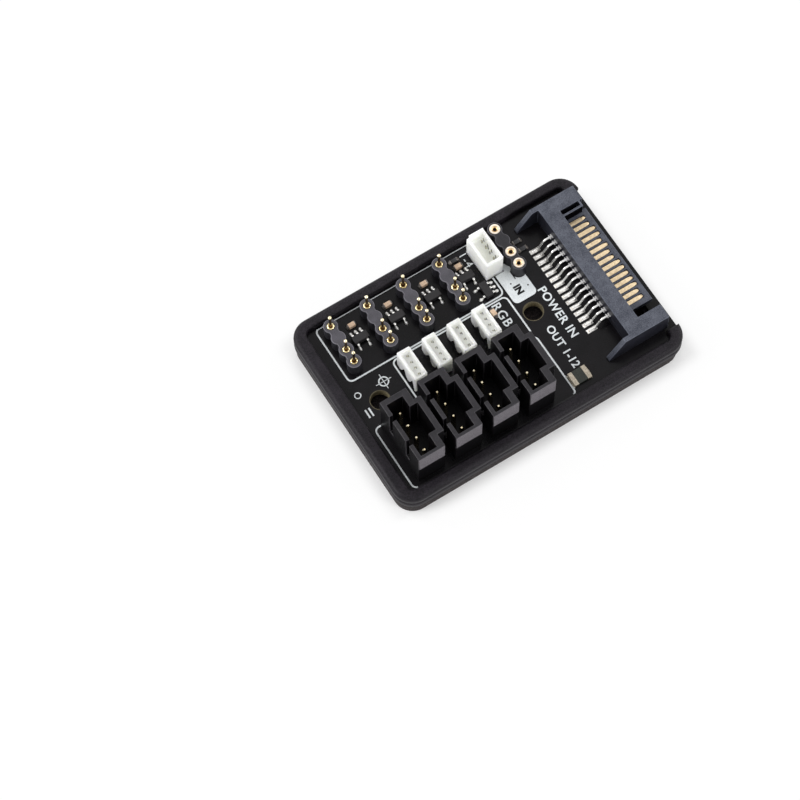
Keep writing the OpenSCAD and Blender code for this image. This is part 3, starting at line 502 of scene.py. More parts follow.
# Mixed tones are given by the span of the value between them, the dark tone and the light one
rubberLook = {
    "rim": ((0.42, 0.58), (12, 10, 14), (38, 34, 40)), "foot": ((0.4, 0.72), (27, 23, 24), (68, 61, 62)),
    # The groove tone and heights paint the shade in the tray's two grooves
    "seam": (5, 5, 6), "grooveTop": 2.4, "seams": (2.4, 3.96), "seamHalf": 0.1, "grain": 0.16, "share": 0.8,
    "coarse": 0.22, "drift": 3.0, "rough": 0.5, "uneven": 0.12, "footRough": 0.12, "bump": 0.4,
    "depth": 0.05, "spec": 0.18}


def rubberFinish(look):
    # Moulded rubber; the foot band below the groove is coarser and a little warmer, and the two grooves are
    # painted near black as the shade in them
    finish = Finish("trayRubber", look)
    grain = finish.grain()
    drift = finish.noise(look["drift"], 2.0)
    speckle = finish.noise(look["coarse"], 2.0, 0.7)
    height = finish.axes[2]
    foot = height < look["grooveTop"]
    rim = finish.shade(grain * look["share"] + drift * (1 - look["share"]), *look["rim"])
    # Painted shade: thin near-black bands at the grooves' heights
    seam = 0.0
    for level in look["seams"]:
        seam = seam + (height > level - look["seamHalf"]) * (height < level + look["seamHalf"])
    colour = finish.blend(foot, rim, finish.shade(speckle, *look["foot"]))
    return finish.surface(finish.blend(seam, colour, tint(*look["seam"])),
                          look["rough"] + (drift - 0.5) * look["uneven"] + foot * look["footRough"],
                          grain + foot * speckle)


boardLook = {
    "holes": ((-21.6, 0.0), (9.26, 0.0)), "bareRadius": 1.84, "bareRough": 0.3, "weave": 0.12, "share": 0.4,
    "drift": 4.0, "lacquer": ((0.35, 0.65), (12, 11, 13), (21, 19, 22)),
    "cloth": ((0.4, 0.6), (70, 65, 50), (102, 95, 76)),
    "rough": 0.24, "uneven": 0.1, "bump": 0.06, "depth": 0.02, "spec": 0.17}


def boardFinish(look):
    # Black lacquer over woven glass, with bare glass cloth round the two holes
    finish = Finish("boardLacquer", look)
    weave = finish.noise(look["weave"], 2.0, 0.5)
    drift = finish.noise(look["drift"])
    lacquer = finish.shade(weave * look["share"] + drift * (1 - look["share"]), *look["lacquer"])
    bare = 0.0
    for x, y in look["holes"]:
        bare = bare + finish.dot(x, y, look["bareRadius"])
    return finish.surface(finish.blend(bare, lacquer, finish.shade(weave, *look["cloth"])),
                          look["rough"] + (drift - 0.5) * look["uneven"] + bare * look["bareRough"], weave)


edgeLook = {"tones": ((0.3, 0.7), (96, 88, 66), (134, 124, 98)), "layer": 0.2,
            "rough": 0.6, "uneven": 0.15, "bump": 0.2, "depth": 0.03, "spec": 0.3}


def laminateFinish(look):
    # Cut edge of the board: layered glass cloth
    finish = Finish("boardEdge", look)
    grain = finish.noise(look["layer"], 2.0)
    layers = finish.ease(grain, *look["tones"][0])
    return finish.surface(finish.shade(grain, *look["tones"]),
                          look["rough"] + layers * look["uneven"], layers)


def lookOf(row, last):
    # Names the values of a row of the tables below
    return dict(zip(("dark", "light", "grain", "rough", "uneven", "bump", "depth", last), row))


# Dark and light tone as screen values, grain in mm, roughness and its spread, bump and its depth in mm,
# and the specular level
mouldings = {
    # The side rows are darker copies as painted shade and the rim rows lighter copies as painted highlights
    # on the strips' soft edges
    "stripTop": ((62, 61, 66), (82, 80, 87), 0.12, 0.5, 0.15, 0.25, 0.03, 0.3),
    "stripSide": ((26, 26, 30), (42, 41, 46), 0.12, 0.5, 0.15, 0.25, 0.03, 0.2),
    "stripRim": ((92, 91, 98), (118, 116, 124), 0.12, 0.45, 0.15, 0.25, 0.03, 0.3),
    "inputStripTop": ((30, 29, 33), (46, 45, 50), 0.12, 0.42, 0.15, 0.2, 0.03, 0.3),
    "inputStripSide": ((26, 25, 29), (42, 41, 46), 0.12, 0.42, 0.15, 0.2, 0.03, 0.2),
    "inputStripRim": ((66, 65, 70), (92, 90, 96), 0.12, 0.42, 0.15, 0.2, 0.03, 0.3),
    "whiteNylon": ((240, 242, 233), (249, 250, 244), 0.25, 0.4, 0.12, 0.08, 0.03, 0.4),
    "contactShade": ((84, 86, 76), (118, 118, 106), 0.25, 0.6, 0.1, 0.08, 0.02, 0.2),
    # The shroud's top and rim rows are lighter copies of its black: the top for the light that falls on it,
    # the rim as a painted highlight on the eased edges
    "shroudTop": ((28, 27, 30), (44, 42, 46), 0.14, 0.5, 0.15, 0.18, 0.03, 0.25),
    "shroudRim": ((42, 40, 44), (60, 58, 62), 0.14, 0.4, 0.15, 0.18, 0.03, 0.3),
    # The plug's side and shade rows are darker copies of its plastic as painted shade, and its rim row a
    # lighter copy as a painted highlight on the eased edges
    "plugPlastic": ((54, 57, 67), (90, 93, 103), 0.15, 0.48, 0.15, 0.3, 0.03, 0.25),
    "plugSide": ((20, 20, 26), (38, 39, 48), 0.15, 0.5, 0.15, 0.3, 0.03, 0.2),
    "plugShade": ((5, 5, 7), (12, 12, 14), 0.15, 0.6, 0.1, 0.3, 0.03, 0.0),
    "plugRim": ((68, 72, 83), (100, 104, 116), 0.15, 0.48, 0.15, 0.3, 0.03, 0.25),
    "chipResin": ((26, 25, 27), (44, 42, 44), 0.1, 0.5, 0.15, 0.25, 0.02, 0.35),
    "capCeramic": ((198, 168, 142), (228, 200, 172), 0.2, 0.4, 0.1, 0.12, 0.02, 0.4),
    "resistorGlaze": ((20, 20, 23), (34, 34, 38), 0.3, 0.26, 0.1, 0.1, 0.02, 0.5),
    "fuseResin": ((24, 28, 23), (40, 46, 38), 0.2, 0.4, 0.12, 0.15, 0.02, 0.4),
    "markInk": ((12, 11, 13), (24, 23, 26), 0.18, 0.4, 0.1, 0.1, 0.01, 0.2),
    "whitePrint": ((208, 213, 216), (232, 236, 238), 0.18, 0.55, 0.1, 0.1, 0.01, 0.3)}
# The same, with the metallic share last
metals = {
    # pinGold is the gold darkened as painted dark reflection on the shanks; cupGold and postGold are lighter
    # copies as painted highlights on the cups, ball tips and posts
    "pinGold": ((98, 74, 42), (158, 130, 86), 0.3, 0.18, 0.12, 0.08, 0.02, 1.0),
    "cupGold": ((168, 146, 98), (236, 222, 180), 0.3, 0.2, 0.12, 0.08, 0.02, 1.0),
    "postGold": ((222, 206, 168), (246, 236, 208), 0.3, 0.25, 0.12, 0.08, 0.02, 1.0),
    "socketGold": ((228, 214, 196), (246, 236, 222), 0.3, 0.35, 0.1, 0.06, 0.02, 1.0),
    "socketFunnel": ((196, 164, 120), (222, 196, 156), 0.2, 0.35, 0.1, 0.1, 0.02, 1.0),
    # socketBore is the gold painted dark brown as shade inside the bore
    "socketBore": ((52, 34, 18), (96, 66, 36), 0.2, 0.5, 0.1, 0.1, 0.02, 0.6),
    "contactLeaf": ((150, 148, 134), (206, 202, 188), 0.25, 0.4, 0.1, 0.08, 0.02, 0.8),
    "contactGold": ((198, 178, 146), (230, 210, 176), 0.4, 0.5, 0.1, 0.05, 0.02, 1.0),
    "leadTin": ((226, 225, 222), (252, 251, 248), 0.25, 0.26, 0.15, 0.08, 0.02, 0.8),
    # rootTin is a lighter copy of the tin as a painted highlight on the punched stretch
    "rootTin": ((244, 243, 242), (254, 253, 252), 0.2, 0.5, 0.15, 0.08, 0.02, 1.0),
    "solder": ((232, 231, 229), (252, 251, 249), 0.3, 0.5, 0.15, 0.12, 0.03, 1.0),
    "padTin": ((186, 183, 179), (251, 249, 246), 0.4, 0.45, 0.15, 0.3, 0.03, 1.0),
    "endTin": ((66, 62, 60), (150, 143, 138), 0.18, 0.36, 0.15, 0.15, 0.02, 0.9),
    "fuseTin": ((140, 132, 118), (186, 176, 160), 0.22, 0.4, 0.15, 0.2, 0.02, 0.85)}
throughLight = {"whiteNylon": {"Subsurface Weight": 1.0, "Subsurface Scale": 3.0 * mm,
                               "Subsurface Radius": (1.0, 1.0, 0.9)}}


# The band's tones are a painted highlight on the lit upper part of the face at the board's edge
shroudLook = {
    "body": ((0.38, 0.62), (8, 7, 9), (18, 17, 19)), "band": ((0.38, 0.62), (86, 83, 87), (112, 108, 113)),
    "bandFoot": 9.45, "bandSide": -16.0, "bandRough": 0.25, "grain": 0.14, "rough": 0.36, "uneven": 0.1,
    "bump": 0.18, "depth": 0.03, "spec": 0.12}


def shroudFinish(look):
    # Black moulding; the plain band on the face at the board's edge is matt, and painted greyer as a
    # highlight where the light falls on that face
    finish = Finish("shroudPlastic", look)
    grain = finish.grain()
    band = (finish.axes[2] > look["bandFoot"]) * (finish.axes[1] < look["bandSide"])
    colour = finish.blend(band, finish.shade(grain, *look["body"]), finish.shade(grain, *look["band"]))
    return finish.surface(colour, look["rough"] + band * look["bandRough"] + (grain - 0.5) * look["uneven"],
                          grain)


finishes = {}
for rows, last in ((mouldings, "spec"), (metals, "metal")):
    for name, row in rows.items():
        finishes[name] = mottled(name, {**lookOf(row, last), "more": throughLight.get(name, {})})
finishes["shroudPlastic"] = shroudFinish(shroudLook)
finishes["rubber"] = rubberFinish(rubberLook)
finishes["board"] = boardFinish(boardLook)
finishes["boardEdge"] = laminateFinish(edgeLook)
print("finishes are made")


# Profiles are pairs of inset and height
trayForm = {
    "corner": 3.7, "leastCorner": 0.5, "steps": 12, "plugInset": 0.45, "shoulder": 0.9, "shoulderSteps": 8,
    "foot": ((0.4, 0.0), (0.28, 0.05), (0.25, 0.16), (0.25, 2.13), (0.29, 2.22), (0.37, 2.25)),
    "wall": ((0.5, 2.28), (0.5, 2.5), (0.22, 2.54), (0.08, 2.6), (0.0, 2.74), (0.0, 3.3), (0.04, 3.6),
             (0.12, 3.82), (0.2, 3.905), (0.3, 3.93), (0.3, 4.0), (0.12, 4.07), (0.03, 4.16), (0.0, 4.3)),
    "pocketHalf": (26.2, 17.2), "pocketCorner": 1.1, "innerRound": 0.4, "innerSteps": 5,
    "ledge": 0.55, "ledgeTop": 2.75, "floorTop": 1.2, "notchHalf": 15.45, "notchTop": 3.9,
    "notchX": (25.7, 30.0)}


def makeTray():
    form = trayForm
    low, high = spanOf("tray")
    top = high.z
    reach = form["shoulder"]
    wall = [*form["wall"], *softEdge(reach, top, form["shoulderSteps"])]
    rings = []
    for side, profile in ((form["plugInset"], form["foot"]), (0.0, wall)):
        for inset, z in profile:
            rings.append(plateRing((low.x + inset, low.y + inset), (high.x - inset - side, high.y - inset),
                                   max(form["corner"] - inset, form["leastCorner"]), z, form["steps"]))
    halfX, halfY = form["pocketHalf"]
    inner = softEdge(form["innerRound"], top, form["innerSteps"])[::-1]
    inner += [(0, form["ledgeTop"]), (-form["ledge"], form["ledgeTop"]), (-form["ledge"], form["floorTop"])]
    for grow, z in inner:
        rings.append(plateRing((-halfX - grow, -halfY - grow), (halfX + grow, halfY + grow),
                               max(form["pocketCorner"] + grow, form["leastCorner"]), z, form["steps"]))
    shape = Shape()
    shape.loft(rings)
    tray = shape.piece("trayShell", ["rubber"])
    # The end wall is lowered in front of the power plug
    half = form["notchHalf"]
    edge = [(half + reach + reach * math.cos(angle), top - reach + reach * math.sin(angle))
            for angle in sweep(180, 90, form["shoulderSteps"])]
    edge.append((half + reach, top + 1))
    outline = [(-half, form["notchTop"]), (half, form["notchTop"]), *edge, *[(-y, z) for y, z in edge[::-1]]]
    cutter = Shape()
    cutter.loft([[(x, y, z) for y, z in outline] for x in form["notchX"]])
    carve(tray, [cutter.piece("notch")])
    dress(tray, ["tray"], 40)


makeTray()
print("tray is made")


# Upright faces are the cut edge
board = softCopy("boardPanel", "circuit_board", ["board", "boardEdge"], 0.05,
                 lambda middle: False, lambda face: int(abs(face.normal.z) < 0.5))
dress(board, ["circuit_board"])
print("board is made")


tailForm = ((0, 1.7), (0.18, 1.7), (0.25, 1.8), (0.25, boardTop))

# The cup is given by radius and height above the body, and the ball by radius, half height and first angle
stripForm = {
    "lobe": 1.3, "waist": 0.825, "pitch": 2.54, "pins": (0, 1, 3), "soft": 0.13, "hole": (0.75, 0.6),
    "cup": ((0.7, -0.08), (0.67, 0.0), (0.6, 0.07), (0.5, 0.11), (0.4, 0.09), (0.32, 0.0), (0.25, -0.12),
            (0.23, -0.12)), "cupSteps": range(5, 11), "neck": (0.23, -0.62), "ball": (0.34, 0.3, -50)}


def lobedOutline(x, y, inset):
    # Four round lobes joined by waists, as one outline moved inwards
    form = stripForm
    radius = form["lobe"] - inset
    half = form["waist"] - inset
    turn = math.degrees(math.acos(half / radius))
    points = []
    for side in (1, -1):
        for k in (0, 1, 2, 3) if side == 1 else (3, 2, 1, 0):
            start = -90 if (k == 0 and side == 1) or (k == 3 and side == -1) else -turn
            end = 90 if (k == 3 and side == 1) or (k == 0 and side == -1) else turn
            for angle in sweep(start, end, 12):
                points.append((x + side * radius * math.cos(angle),
                               y + k * form["pitch"] + side * radius * math.sin(angle)))
    return points


def stripBody(name, node, look, hole):
    # A lobed body with a soft top edge and a hole for each pin; gives the place of the first pin and the top
    low, high = spanOf(node)
    x = (low.x + high.x) / 2
    y = low.y + stripForm["lobe"]
    rings = [(0.0, low.z)] + softEdge(stripForm["soft"], high.z)
    shape = Shape()
    # The upright side is painted darker as shade and the soft edge lighter as a highlight; the top keeps the
    # plain tone
    shape.loft([[(px, py, z) for px, py in lobedOutline(x, y, inset)] for inset, z in rings], 2,
               markOf=lambda step: 1 if step else 0)
    body = shape.piece(name, [look + part for part in ("Side", "Rim", "Top")])
    radius, depth = hole
    cutters = []
    for k in stripForm["pins"]:
        cutter = Shape()
        cutter.turn(x, y + k * stripForm["pitch"], [(radius, high.z - depth), (radius, high.z + 1)], 32)
        cutters.append(cutter.piece("hole"))
    carve(body, cutters)
    dress(body, [node])
    return x, y, high.z


def raised(profile, level):
    # Turns heights from a level into heights from the floor
    return [(radius, level + height) for radius, height in profile]


for index in columns:
    form = stripForm
    x, y, top = stripBody(f"stripBody{index}", f"strip_body_{index}", "strip", form["hole"])
    pins = Shape()
    tip = spanOf(f"strip_pins_{index}")[1].z
    ball, rise, first = form["ball"]
    for k in form["pins"]:
        profile = [*tailForm, (form["cup"][0][0], boardTop), *raised(form["cup"], top),
                   *raised([form["neck"]], tip)]
        shank = len(profile)
        for angle in sweep(first, 90, 8):
            profile.append((ball * math.cos(angle), tip - rise + rise * math.sin(angle)))
        profile[-1] = (0, tip)
        # The shank takes the darkened gold as painted dark reflection, the cup and ball the lighter golds as
        # painted highlights
        pins.turn(x, y + k * form["pitch"], profile,
                  markOf=lambda step: 1 if step >= shank else 2 if step in stripForm["cupSteps"] else 0)
    pins = pins.piece(f"stripPins{index}", ["pinGold", "postGold", "cupGold"])
    dress(pins, [f"strip_pins_{index}"])

# Radius and height above the body, from the barrel over the rim and down the funnel and the bore
socketForm = {
    "hole": (1.0, 0.6), "steps": 32, "funnelStep": 11,
    "barrel": ((0.75, -0.5), (0.975, -0.5), (0.975, -0.07), (0.94, -0.01), (0.9, 0.01), (0.68, 0.01),
               (0.63, -0.01), (0.36, -0.15), (0.31, -0.2), (0.3, -2.2), (0, -2.2))}
x, y, top = stripBody("inputStripBody", "input_strip_body", "inputStrip", socketForm["hole"])
sockets = Shape()
# The bore is painted dark brown as the shade inside the hole
for k in stripForm["pins"]:
    profile = [*tailForm, (socketForm["barrel"][0][0], boardTop), *raised(socketForm["barrel"], top)]
    sockets.turn(x, y + k * stripForm["pitch"], profile, socketForm["steps"],
                 lambda step: min(2, max(0, step - socketForm["funnelStep"] + 1)))
dress(sockets.piece("inputStripSockets", ["socketGold", "socketFunnel", "socketBore"]),
      ["input_strip_sockets"])
print("strip headers are made")


def insetOutline(points, inset):
    # Moves every side of an anticlockwise outline inwards
    moved = []
    for k, corner in enumerate(points):
        corner = Vector(corner)
        back = (corner - Vector(points[k - 1])).normalized()
        ahead = (Vector(points[(k + 1) % len(points)]) - corner).normalized()
        inward = Vector((-back.y - ahead.y, back.x + ahead.x))
        moved.append(corner + inward * inset / (1 + back.dot(ahead)))
    return moved


whiteForm = {
    "round": 0.13, "recessCorner": 0.2, "mouth": 0.15, "mouthDrop": 0.3, "crease": 0.12, "pitch": 1.25,
    "small": {"walls": (0.55, 0.42, 0.38, 0.75), "depth": 1.0},
    "input": {"walls": (0.55, 0.68, 0.38, 0.82), "depth": 2.0, "step": (0.7, 0.4), "corner": 0.25},
    "skirt": 0.36, "hollow": (1.2, 0.3, 2.0),
    "feet": ((-0.2, 3.7), (0.0, 3.9), (0.3, 4.35), (0.85, 4.6), (1.4, 4.3), (1.85, 3.4), (2.15, 2.7),
             (2.38, 2.3), (2.55, 2.55), (2.75, 3.2), (3.0, 4.05), (3.5, 4.55), (4.1, 4.2), (4.55, 3.1),
             (4.82, 2.15), (4.95, 1.8), (5.1, 2.4), (5.4, 3.7), (5.75, 5.1), (5.75, 6.0), (-0.2, 6.0))}


def whiteShell(name, node, kind, outline):
    # A block with a soft top edge and a flared recess
    form = whiteForm
    low, high = spanOf(node)
    rings = [(0.0, low.z)] + softEdge(form["round"], high.z)
    shape = Shape()
    shape.loft([[(point.x, point.y, z) for point in insetOutline(outline, inset)] for inset, z in rings])
    shell = shape.piece(name, ["whiteNylon"])
    left, near, right, far = form[kind]["walls"]
    floor = high.z - form[kind]["depth"]
    recess = Shape()
    recess.loft([plateRing((low.x + left - grow, low.y + near - grow),
                           (high.x - right + grow, high.y - far + grow), form["recessCorner"] + grow, z, 3)
                 for grow, z in ((-form["crease"], floor), (0, floor + form["crease"]),
                                 (0, high.z - form["mouthDrop"]), (form["mouth"], high.z + 0.01),
                                 (form["mouth"], high.z + 1))])
    cutters = [recess.piece("recess")]
    if kind == "small":
        skirt = Shape()
        skirt.loft([[(x, high.y - along, high.z - drop) for along, drop in form["feet"]]
                    for x in (low.x - 1, low.x + form["skirt"])])
        cutters.append(skirt.piece("skirt"))
        reach, side, roof = form["hollow"]
        hollow = Shape()
        hollow.loft([plateRing((low.x + form["skirt"] - 0.02, low.y + side), (low.x + reach, high.y - side),
                               0.1, z, 2) for z in (low.z - 1, high.z - roof)])
        cutters.append(hollow.piece("hollow"))
    carve(shell, cutters)
    dress(shell, [node])


# Shares of a contact's height, each with its share of the full section
leafForm = {"taper": ((0.0, 0.7), (0.08, 1.0), (0.9, 1.0), (0.97, 0.85), (1.0, 0.5)), "corner": 0.04}


def leaf(shape, x, y, low, high, lean, thick, wide, mark=0):
    # A thin upright contact, or a plate of painted shade beside one, with an eased tip, which may lean along
    # the row
    rings = []
    for share, size in leafForm["taper"]:
        shift = lean * (1 - share)
        rings.append(plateRing((x - thick * size / 2, y - wide * size / 2 - shift),
                               (x + thick * size / 2, y + wide * size / 2 - shift),
                               leafForm["corner"] * size, low + (high - low) * share, 2))
    shape.loft(rings, mark)


low, high = spanOf("input_housing")
stepX, stepY = whiteForm["input"]["step"]
cut = whiteForm["input"]["corner"]
whiteShell("inputHousing", "input_housing", "input",
           [(low.x, low.y), (high.x - cut, low.y), (high.x, low.y + cut), (high.x, high.y),
            (low.x + stepX, high.y), (low.x + stepX, high.y - stepY), (low.x, high.y - stepY)])
for index in columns:
    low, high = spanOf(f"small_housing_{index}")
    whiteShell(f"smallHousing{index}", f"small_housing_{index}", "small",
               [(x, y) for x, y, z in plateRing((low.x, low.y), (high.x, high.y), 0.14, 0, 3)])

fineForm = {
    "tail": 1.7, "thickness": 0.26, "wide": 0.33, "shadeWide": 0.26, "shadeShift": 0.05,
    "small": {"top": 8.62, "shade": (0.2, 0.08, 8.2, 8.67, 0.25), "reach": (1.0, 1.0, 1.0, 1.0)},
    "input": {"top": 8.55, "shade": (0.27, 0.1, 7.2, 8.95, 0.45), "reach": (0.45, 1.0, 0.5, 1.0)}}
fineNodes = [("inputContacts", "input_contacts", "input")]
fineNodes += [(f"smallContacts{index}", f"small_contacts_{index}", "small") for index in columns]
for name, node, kind in fineNodes:
    low, high = spanOf(node)
    form = fineForm[kind]
    x = (low.x + high.x) / 2
    middle = (low.y + high.y) / 2
    shape = Shape()
    for k, reach in enumerate(form["reach"]):
        y = middle + (1.5 - k) * whiteForm["pitch"]
        leaf(shape, x, y, fineForm["tail"], form["top"], 0.0, fineForm["thickness"], fineForm["wide"])
        # Beside each contact stands a dark plate of painted shade for the gap between contact and wall
        away, thin, foot, top, lean = form["shade"]
        leaf(shape, x + away, y - fineForm["shadeShift"], top - (top - foot) * reach, top, lean * reach,
             thin, fineForm["shadeWide"], 1)
    dress(shape.piece(name, ["contactLeaf", "contactShade"]), [node])
print("white housings are made")


# Tail and tip are shares of the half width, with heights above the lower and below the upper end
postForm = {
    "shroudEdges": 7.0, "shroudTop": 13.6, "pitch": 2.54, "half": 0.32, "ease": 0.05,
    "tail": ((0.5, 0.0), (1.0, 0.4)), "tip": ((1.0, -0.47), (0.96, -0.42), (0.58, -0.06), (0.46, 0.0))}
for index in columns:
    node = f"shroud_{index}"
    # Painted light: the body's black is darkened as shade for its sides and inside, the top faces take a
    # lighter copy where light falls, and the eased edges a lighter one still as a highlight
    shroud = softCopy(f"shroud{index}", node, ["shroudPlastic", "shroudTop", "shroudRim"], 0.09,
                      lambda middle: middle.z > postForm["shroudEdges"],
                      lambda face: int(face.calc_center_median().z > postForm["shroudTop"]))
    dress(shroud, [node])
    low, high = spanOf(f"shroud_pins_{index}")
    shape = Shape()
    x = (low.x + high.x) / 2
    for k in range(4):
        y = low.y + postForm["half"] + k * postForm["pitch"]
        rings = []
        for size, z in raised(postForm["tail"], low.z) + raised(postForm["tip"], high.z):
            half = postForm["half"] * size
            rings.append(plateRing((x - half, y - half), (x + half, y + half), postForm["ease"], z, 2))
        shape.loft(rings)
    # The posts take the lighter gold as a painted highlight
    dress(shape.piece(f"shroudPins{index}", ["postGold"]), [f"shroud_pins_{index}"])
print("shrouded headers are made")


plugForm = {
    "softFrom": 4.5, "grooves": (6.1, 6.55), "grooveEnd": 27.05, "ribX": 22.4, "ribSide": (10.3, 10.7)}


def plugEdges(middle):
    # The contacts' grooves and the foot keep their sharp edges
    low, high = plugForm["grooves"]
    grooved = low < middle.z < high and middle.x < plugForm["grooveEnd"]
    return middle.z > plugForm["softFrom"] and not grooved


def plugMark(face):
    # Upright faces take a darker copy of the plastic as painted shade, and the side of the tongue's rib is
    # painted near black as the shade it lies in
    x, y, z = face.calc_center_median()
    near, far = plugForm["ribSide"]
    if x > plugForm["ribX"] and near < y < far and face.normal.y < -0.5:
        return 2
    return 0 if face.normal.z > 0.5 else 1


# The eased edges take the last finish, a lighter copy painted as a highlight
plug = softCopy("powerPlug", "power_plug", ["plugPlastic", "plugSide", "plugShade", "plugRim"], 0.1,
                plugEdges, plugMark)
dress(plug, ["power_plug"])

# The punched stretch beside the plug is given by distance behind its block and name of the width there
leadForm = {
    "first": 9.54, "pitch": 1.27, "long": "001101001111100", "longTip": 26.5, "shortTip": 26.05,
    "face": 6.45, "thickness": 0.2, "wide": 0.79, "lead": 0.38, "bar": 0.86, "neck": 0.3192, "block": 19.24,
    "level": 17.69, "heel": 16.45, "toe": 15.1, "foot": 4.41, "bend": 0.34, "rootSteps": 9,
    "tip": ((0.0, 0.1, 0.3), (0.05, 0.04, 0.46), (0.14, 0.01, 0.6), (0.35, 0.0, 0.78), (0.6, 0.0, 0.92),
            (0.9, 0.0, 1.0)),
    "punch": ((-0.02, "wide"), (0.0, "bar"), (0.17, "bar"), (0.2, "neck"), (0.36, "neck"), (0.39, "bar"),
              (0.56, "bar"), (0.6, "lead"))}


def makeContacts():
    form = leadForm
    shape = Shape()
    middle = form["face"] - form["thickness"] / 2
    down = form["foot"] + form["thickness"] / 2
    block = form["block"]
    toe = form["toe"]
    rooted = len(form["tip"])
    bends = bentPath([(block - 0.7, middle), (form["level"], middle), (form["heel"], down),
                      (toe + 0.12, down)], form["bend"])
    for k, long in enumerate(form["long"]):
        tip = form["longTip"] if long == "1" else form["shortTip"]
        path = [(tip - back, middle - sink, form["wide"] * share) for back, sink, share in form["tip"]]
        path += [(block - back, middle, form[part]) for back, part in form["punch"]]
        path += [(point.x, point.y, form["lead"]) for point in bends]
        path += [(toe + 0.05, down, form["lead"] * 0.9), (toe, down, form["lead"] * 0.7)]
        # The punched stretch takes a lighter tin as a painted highlight
        strip(shape, path, form["thickness"], (0, form["first"] - k * form["pitch"]), (1, 0),
              lambda step: 0 if step < rooted else 2 if step < rooted + form["rootSteps"] else 1)
    contacts = shape.piece("powerContacts", ["contactGold", "leadTin", "rootTin"])
    dress(contacts, ["power_contacts"], 50)


makeContacts()

# A bead is given by half length, half width, height and fullness, a dimple by distance, size and depth
padForm = {
    "x": (14.8, 16.75), "half": 0.395, "round": 0.03, "solder": 0.17, "fullness": 3.4, "wobble": 0.02,
    "dimple": (0.35, 0.22, 0.09), "heelX": 16.3, "heel": (0.36, 0.33, 0.4, 2.2)}


def makePads():
    form = padForm
    shape = Shape()
    low, high = spanOf("solder_pads")
    base = low.z + 0.02
    x0, x1 = form["x"]
    away, size, depth = form["dimple"]
    halfX, halfY, height, fullness = form["heel"]
    for k in range(len(leadForm["long"])):
        y = leadForm["first"] - k * leadForm["pitch"]
        roundedBox(shape, (x0, y - form["half"], low.z), (x1, y + form["half"], high.z), form["round"])
        wobble = random.uniform(-form["wobble"], form["wobble"])
        mound(shape, (x0 + x1) / 2, y, (x1 - x0) / 2 - 0.01, form["half"] - 0.01, base,
              form["solder"] + wobble, form["fullness"], (x0 + away, y + wobble, size, depth))
        mound(shape, form["heelX"], y, halfX, halfY, base, height + wobble, fullness)
    dress(shape.piece("padSolder", ["padTin"]), ["solder_pads"], 60)


makePads()
print("power plug is made")


chipForm = {
    "legWidth": 0.42, "legMetal": 0.15, "pitch": 0.95, "root": 0.7, "bend": 1.1, "knee": 1.26, "toe": 1.6,
    "bendRadius": 0.14, "soft": 0.05, "bead": (0.3, 0.4), "beadHeight": 0.34, "beadSpread": (-0.04, 0.05),
    "fullness": 2.1}


def makeChip(name, bodyNode, legNode, turned):
    # Three legs on one side and two on the other, along y or, where turned, along x
    form = chipForm
    low, high = spanOf(bodyNode)
    centre = ((low.x + high.x) / 2, (low.y + high.y) / 2)
    chip = softCopy(f"{name}Body", bodyNode, ["chipResin"], form["soft"], lambda middle: True)
    dress(chip, [bodyNode])
    waist = (low.z + high.z) / 2
    down = boardTop + form["legMetal"] / 2
    bends = bentPath([(form["root"], waist), (form["bend"], waist), (form["knee"], down),
                      (form["toe"], down)], form["bendRadius"], 4)
    path = [(point.x, point.y, form["legWidth"]) for point in bends]
    halfX, halfY = form["bead"][::-1] if turned else form["bead"]
    legs = Shape()
    for side in (1, -1):
        heading = (side, 0) if turned else (0, side)
        for k in (-1, 0, 1) if side == 1 else (-1, 1):
            across = k * form["pitch"]
            origin = (centre[0] + (0 if turned else across), centre[1] + (across if turned else 0))
            strip(legs, path, form["legMetal"], origin, heading)
            x, y = [start + form["toe"] * way for start, way in zip(origin, heading)]
            mound(legs, x, y, halfX, halfY, boardTop - 0.01,
                  form["beadHeight"] + random.uniform(*form["beadSpread"]), form["fullness"], mark=1)
    dress(legs.piece(f"{name}Legs", ["leadTin", "solder"]), [legNode], 50)


for index in columns:
    makeChip(f"driverChip{index}", f"driver_chip_{index}", f"driver_legs_{index}", False)
makeChip("inputChip", "input_chip", "input_chip_legs", True)
print("chips are made")


# Sizes are length, width, height and length of an end; then piece, finish, slot and CAD node
flatForm = {
    "caps": {
        "places": ((-18.5, 14.3), (-11.23, 14.3), (-3.96, 14.3), (2.84, 13.95), (3.25, 3.2)),
        "across": (3.25, 3.2), "size": (1.6, 0.85, 0.8, 0.22),
        "body": ("capBodies", "capCeramic", "capacitor_ceramic", "capacitor_bodies"),
        "ends": ("capEnds", "endTin", "end_tin", "capacitor_ends")},
    "resistors": {
        "places": ((2.84, 15.33), (13.99, 12.6), (14.17, 10.9)), "size": (1.6, 0.8, 0.45, 0.26),
        "body": ("resistorBodies", "resistorGlaze", "resistor_body", "resistor_bodies"),
        "ends": ("resistorEnds", "endTin", "end_tin", "resistor_ends")},
    "fuse": {
        "places": ((9.18, -14.43),), "size": (3.5, 2.6, 0.6, 0.85),
        "body": ("fuseBody", "fuseResin", "fuse_resin", "fuse_body"),
        "ends": ("fuseEnds", "fuseTin", "fuse_tin", "fuse_ends")}}
flatDetail = {"bodyRound": 0.05, "endRound": 0.07, "bead": (0.26, 0.02, 0.55, 0.03), "fullness": 2.6}


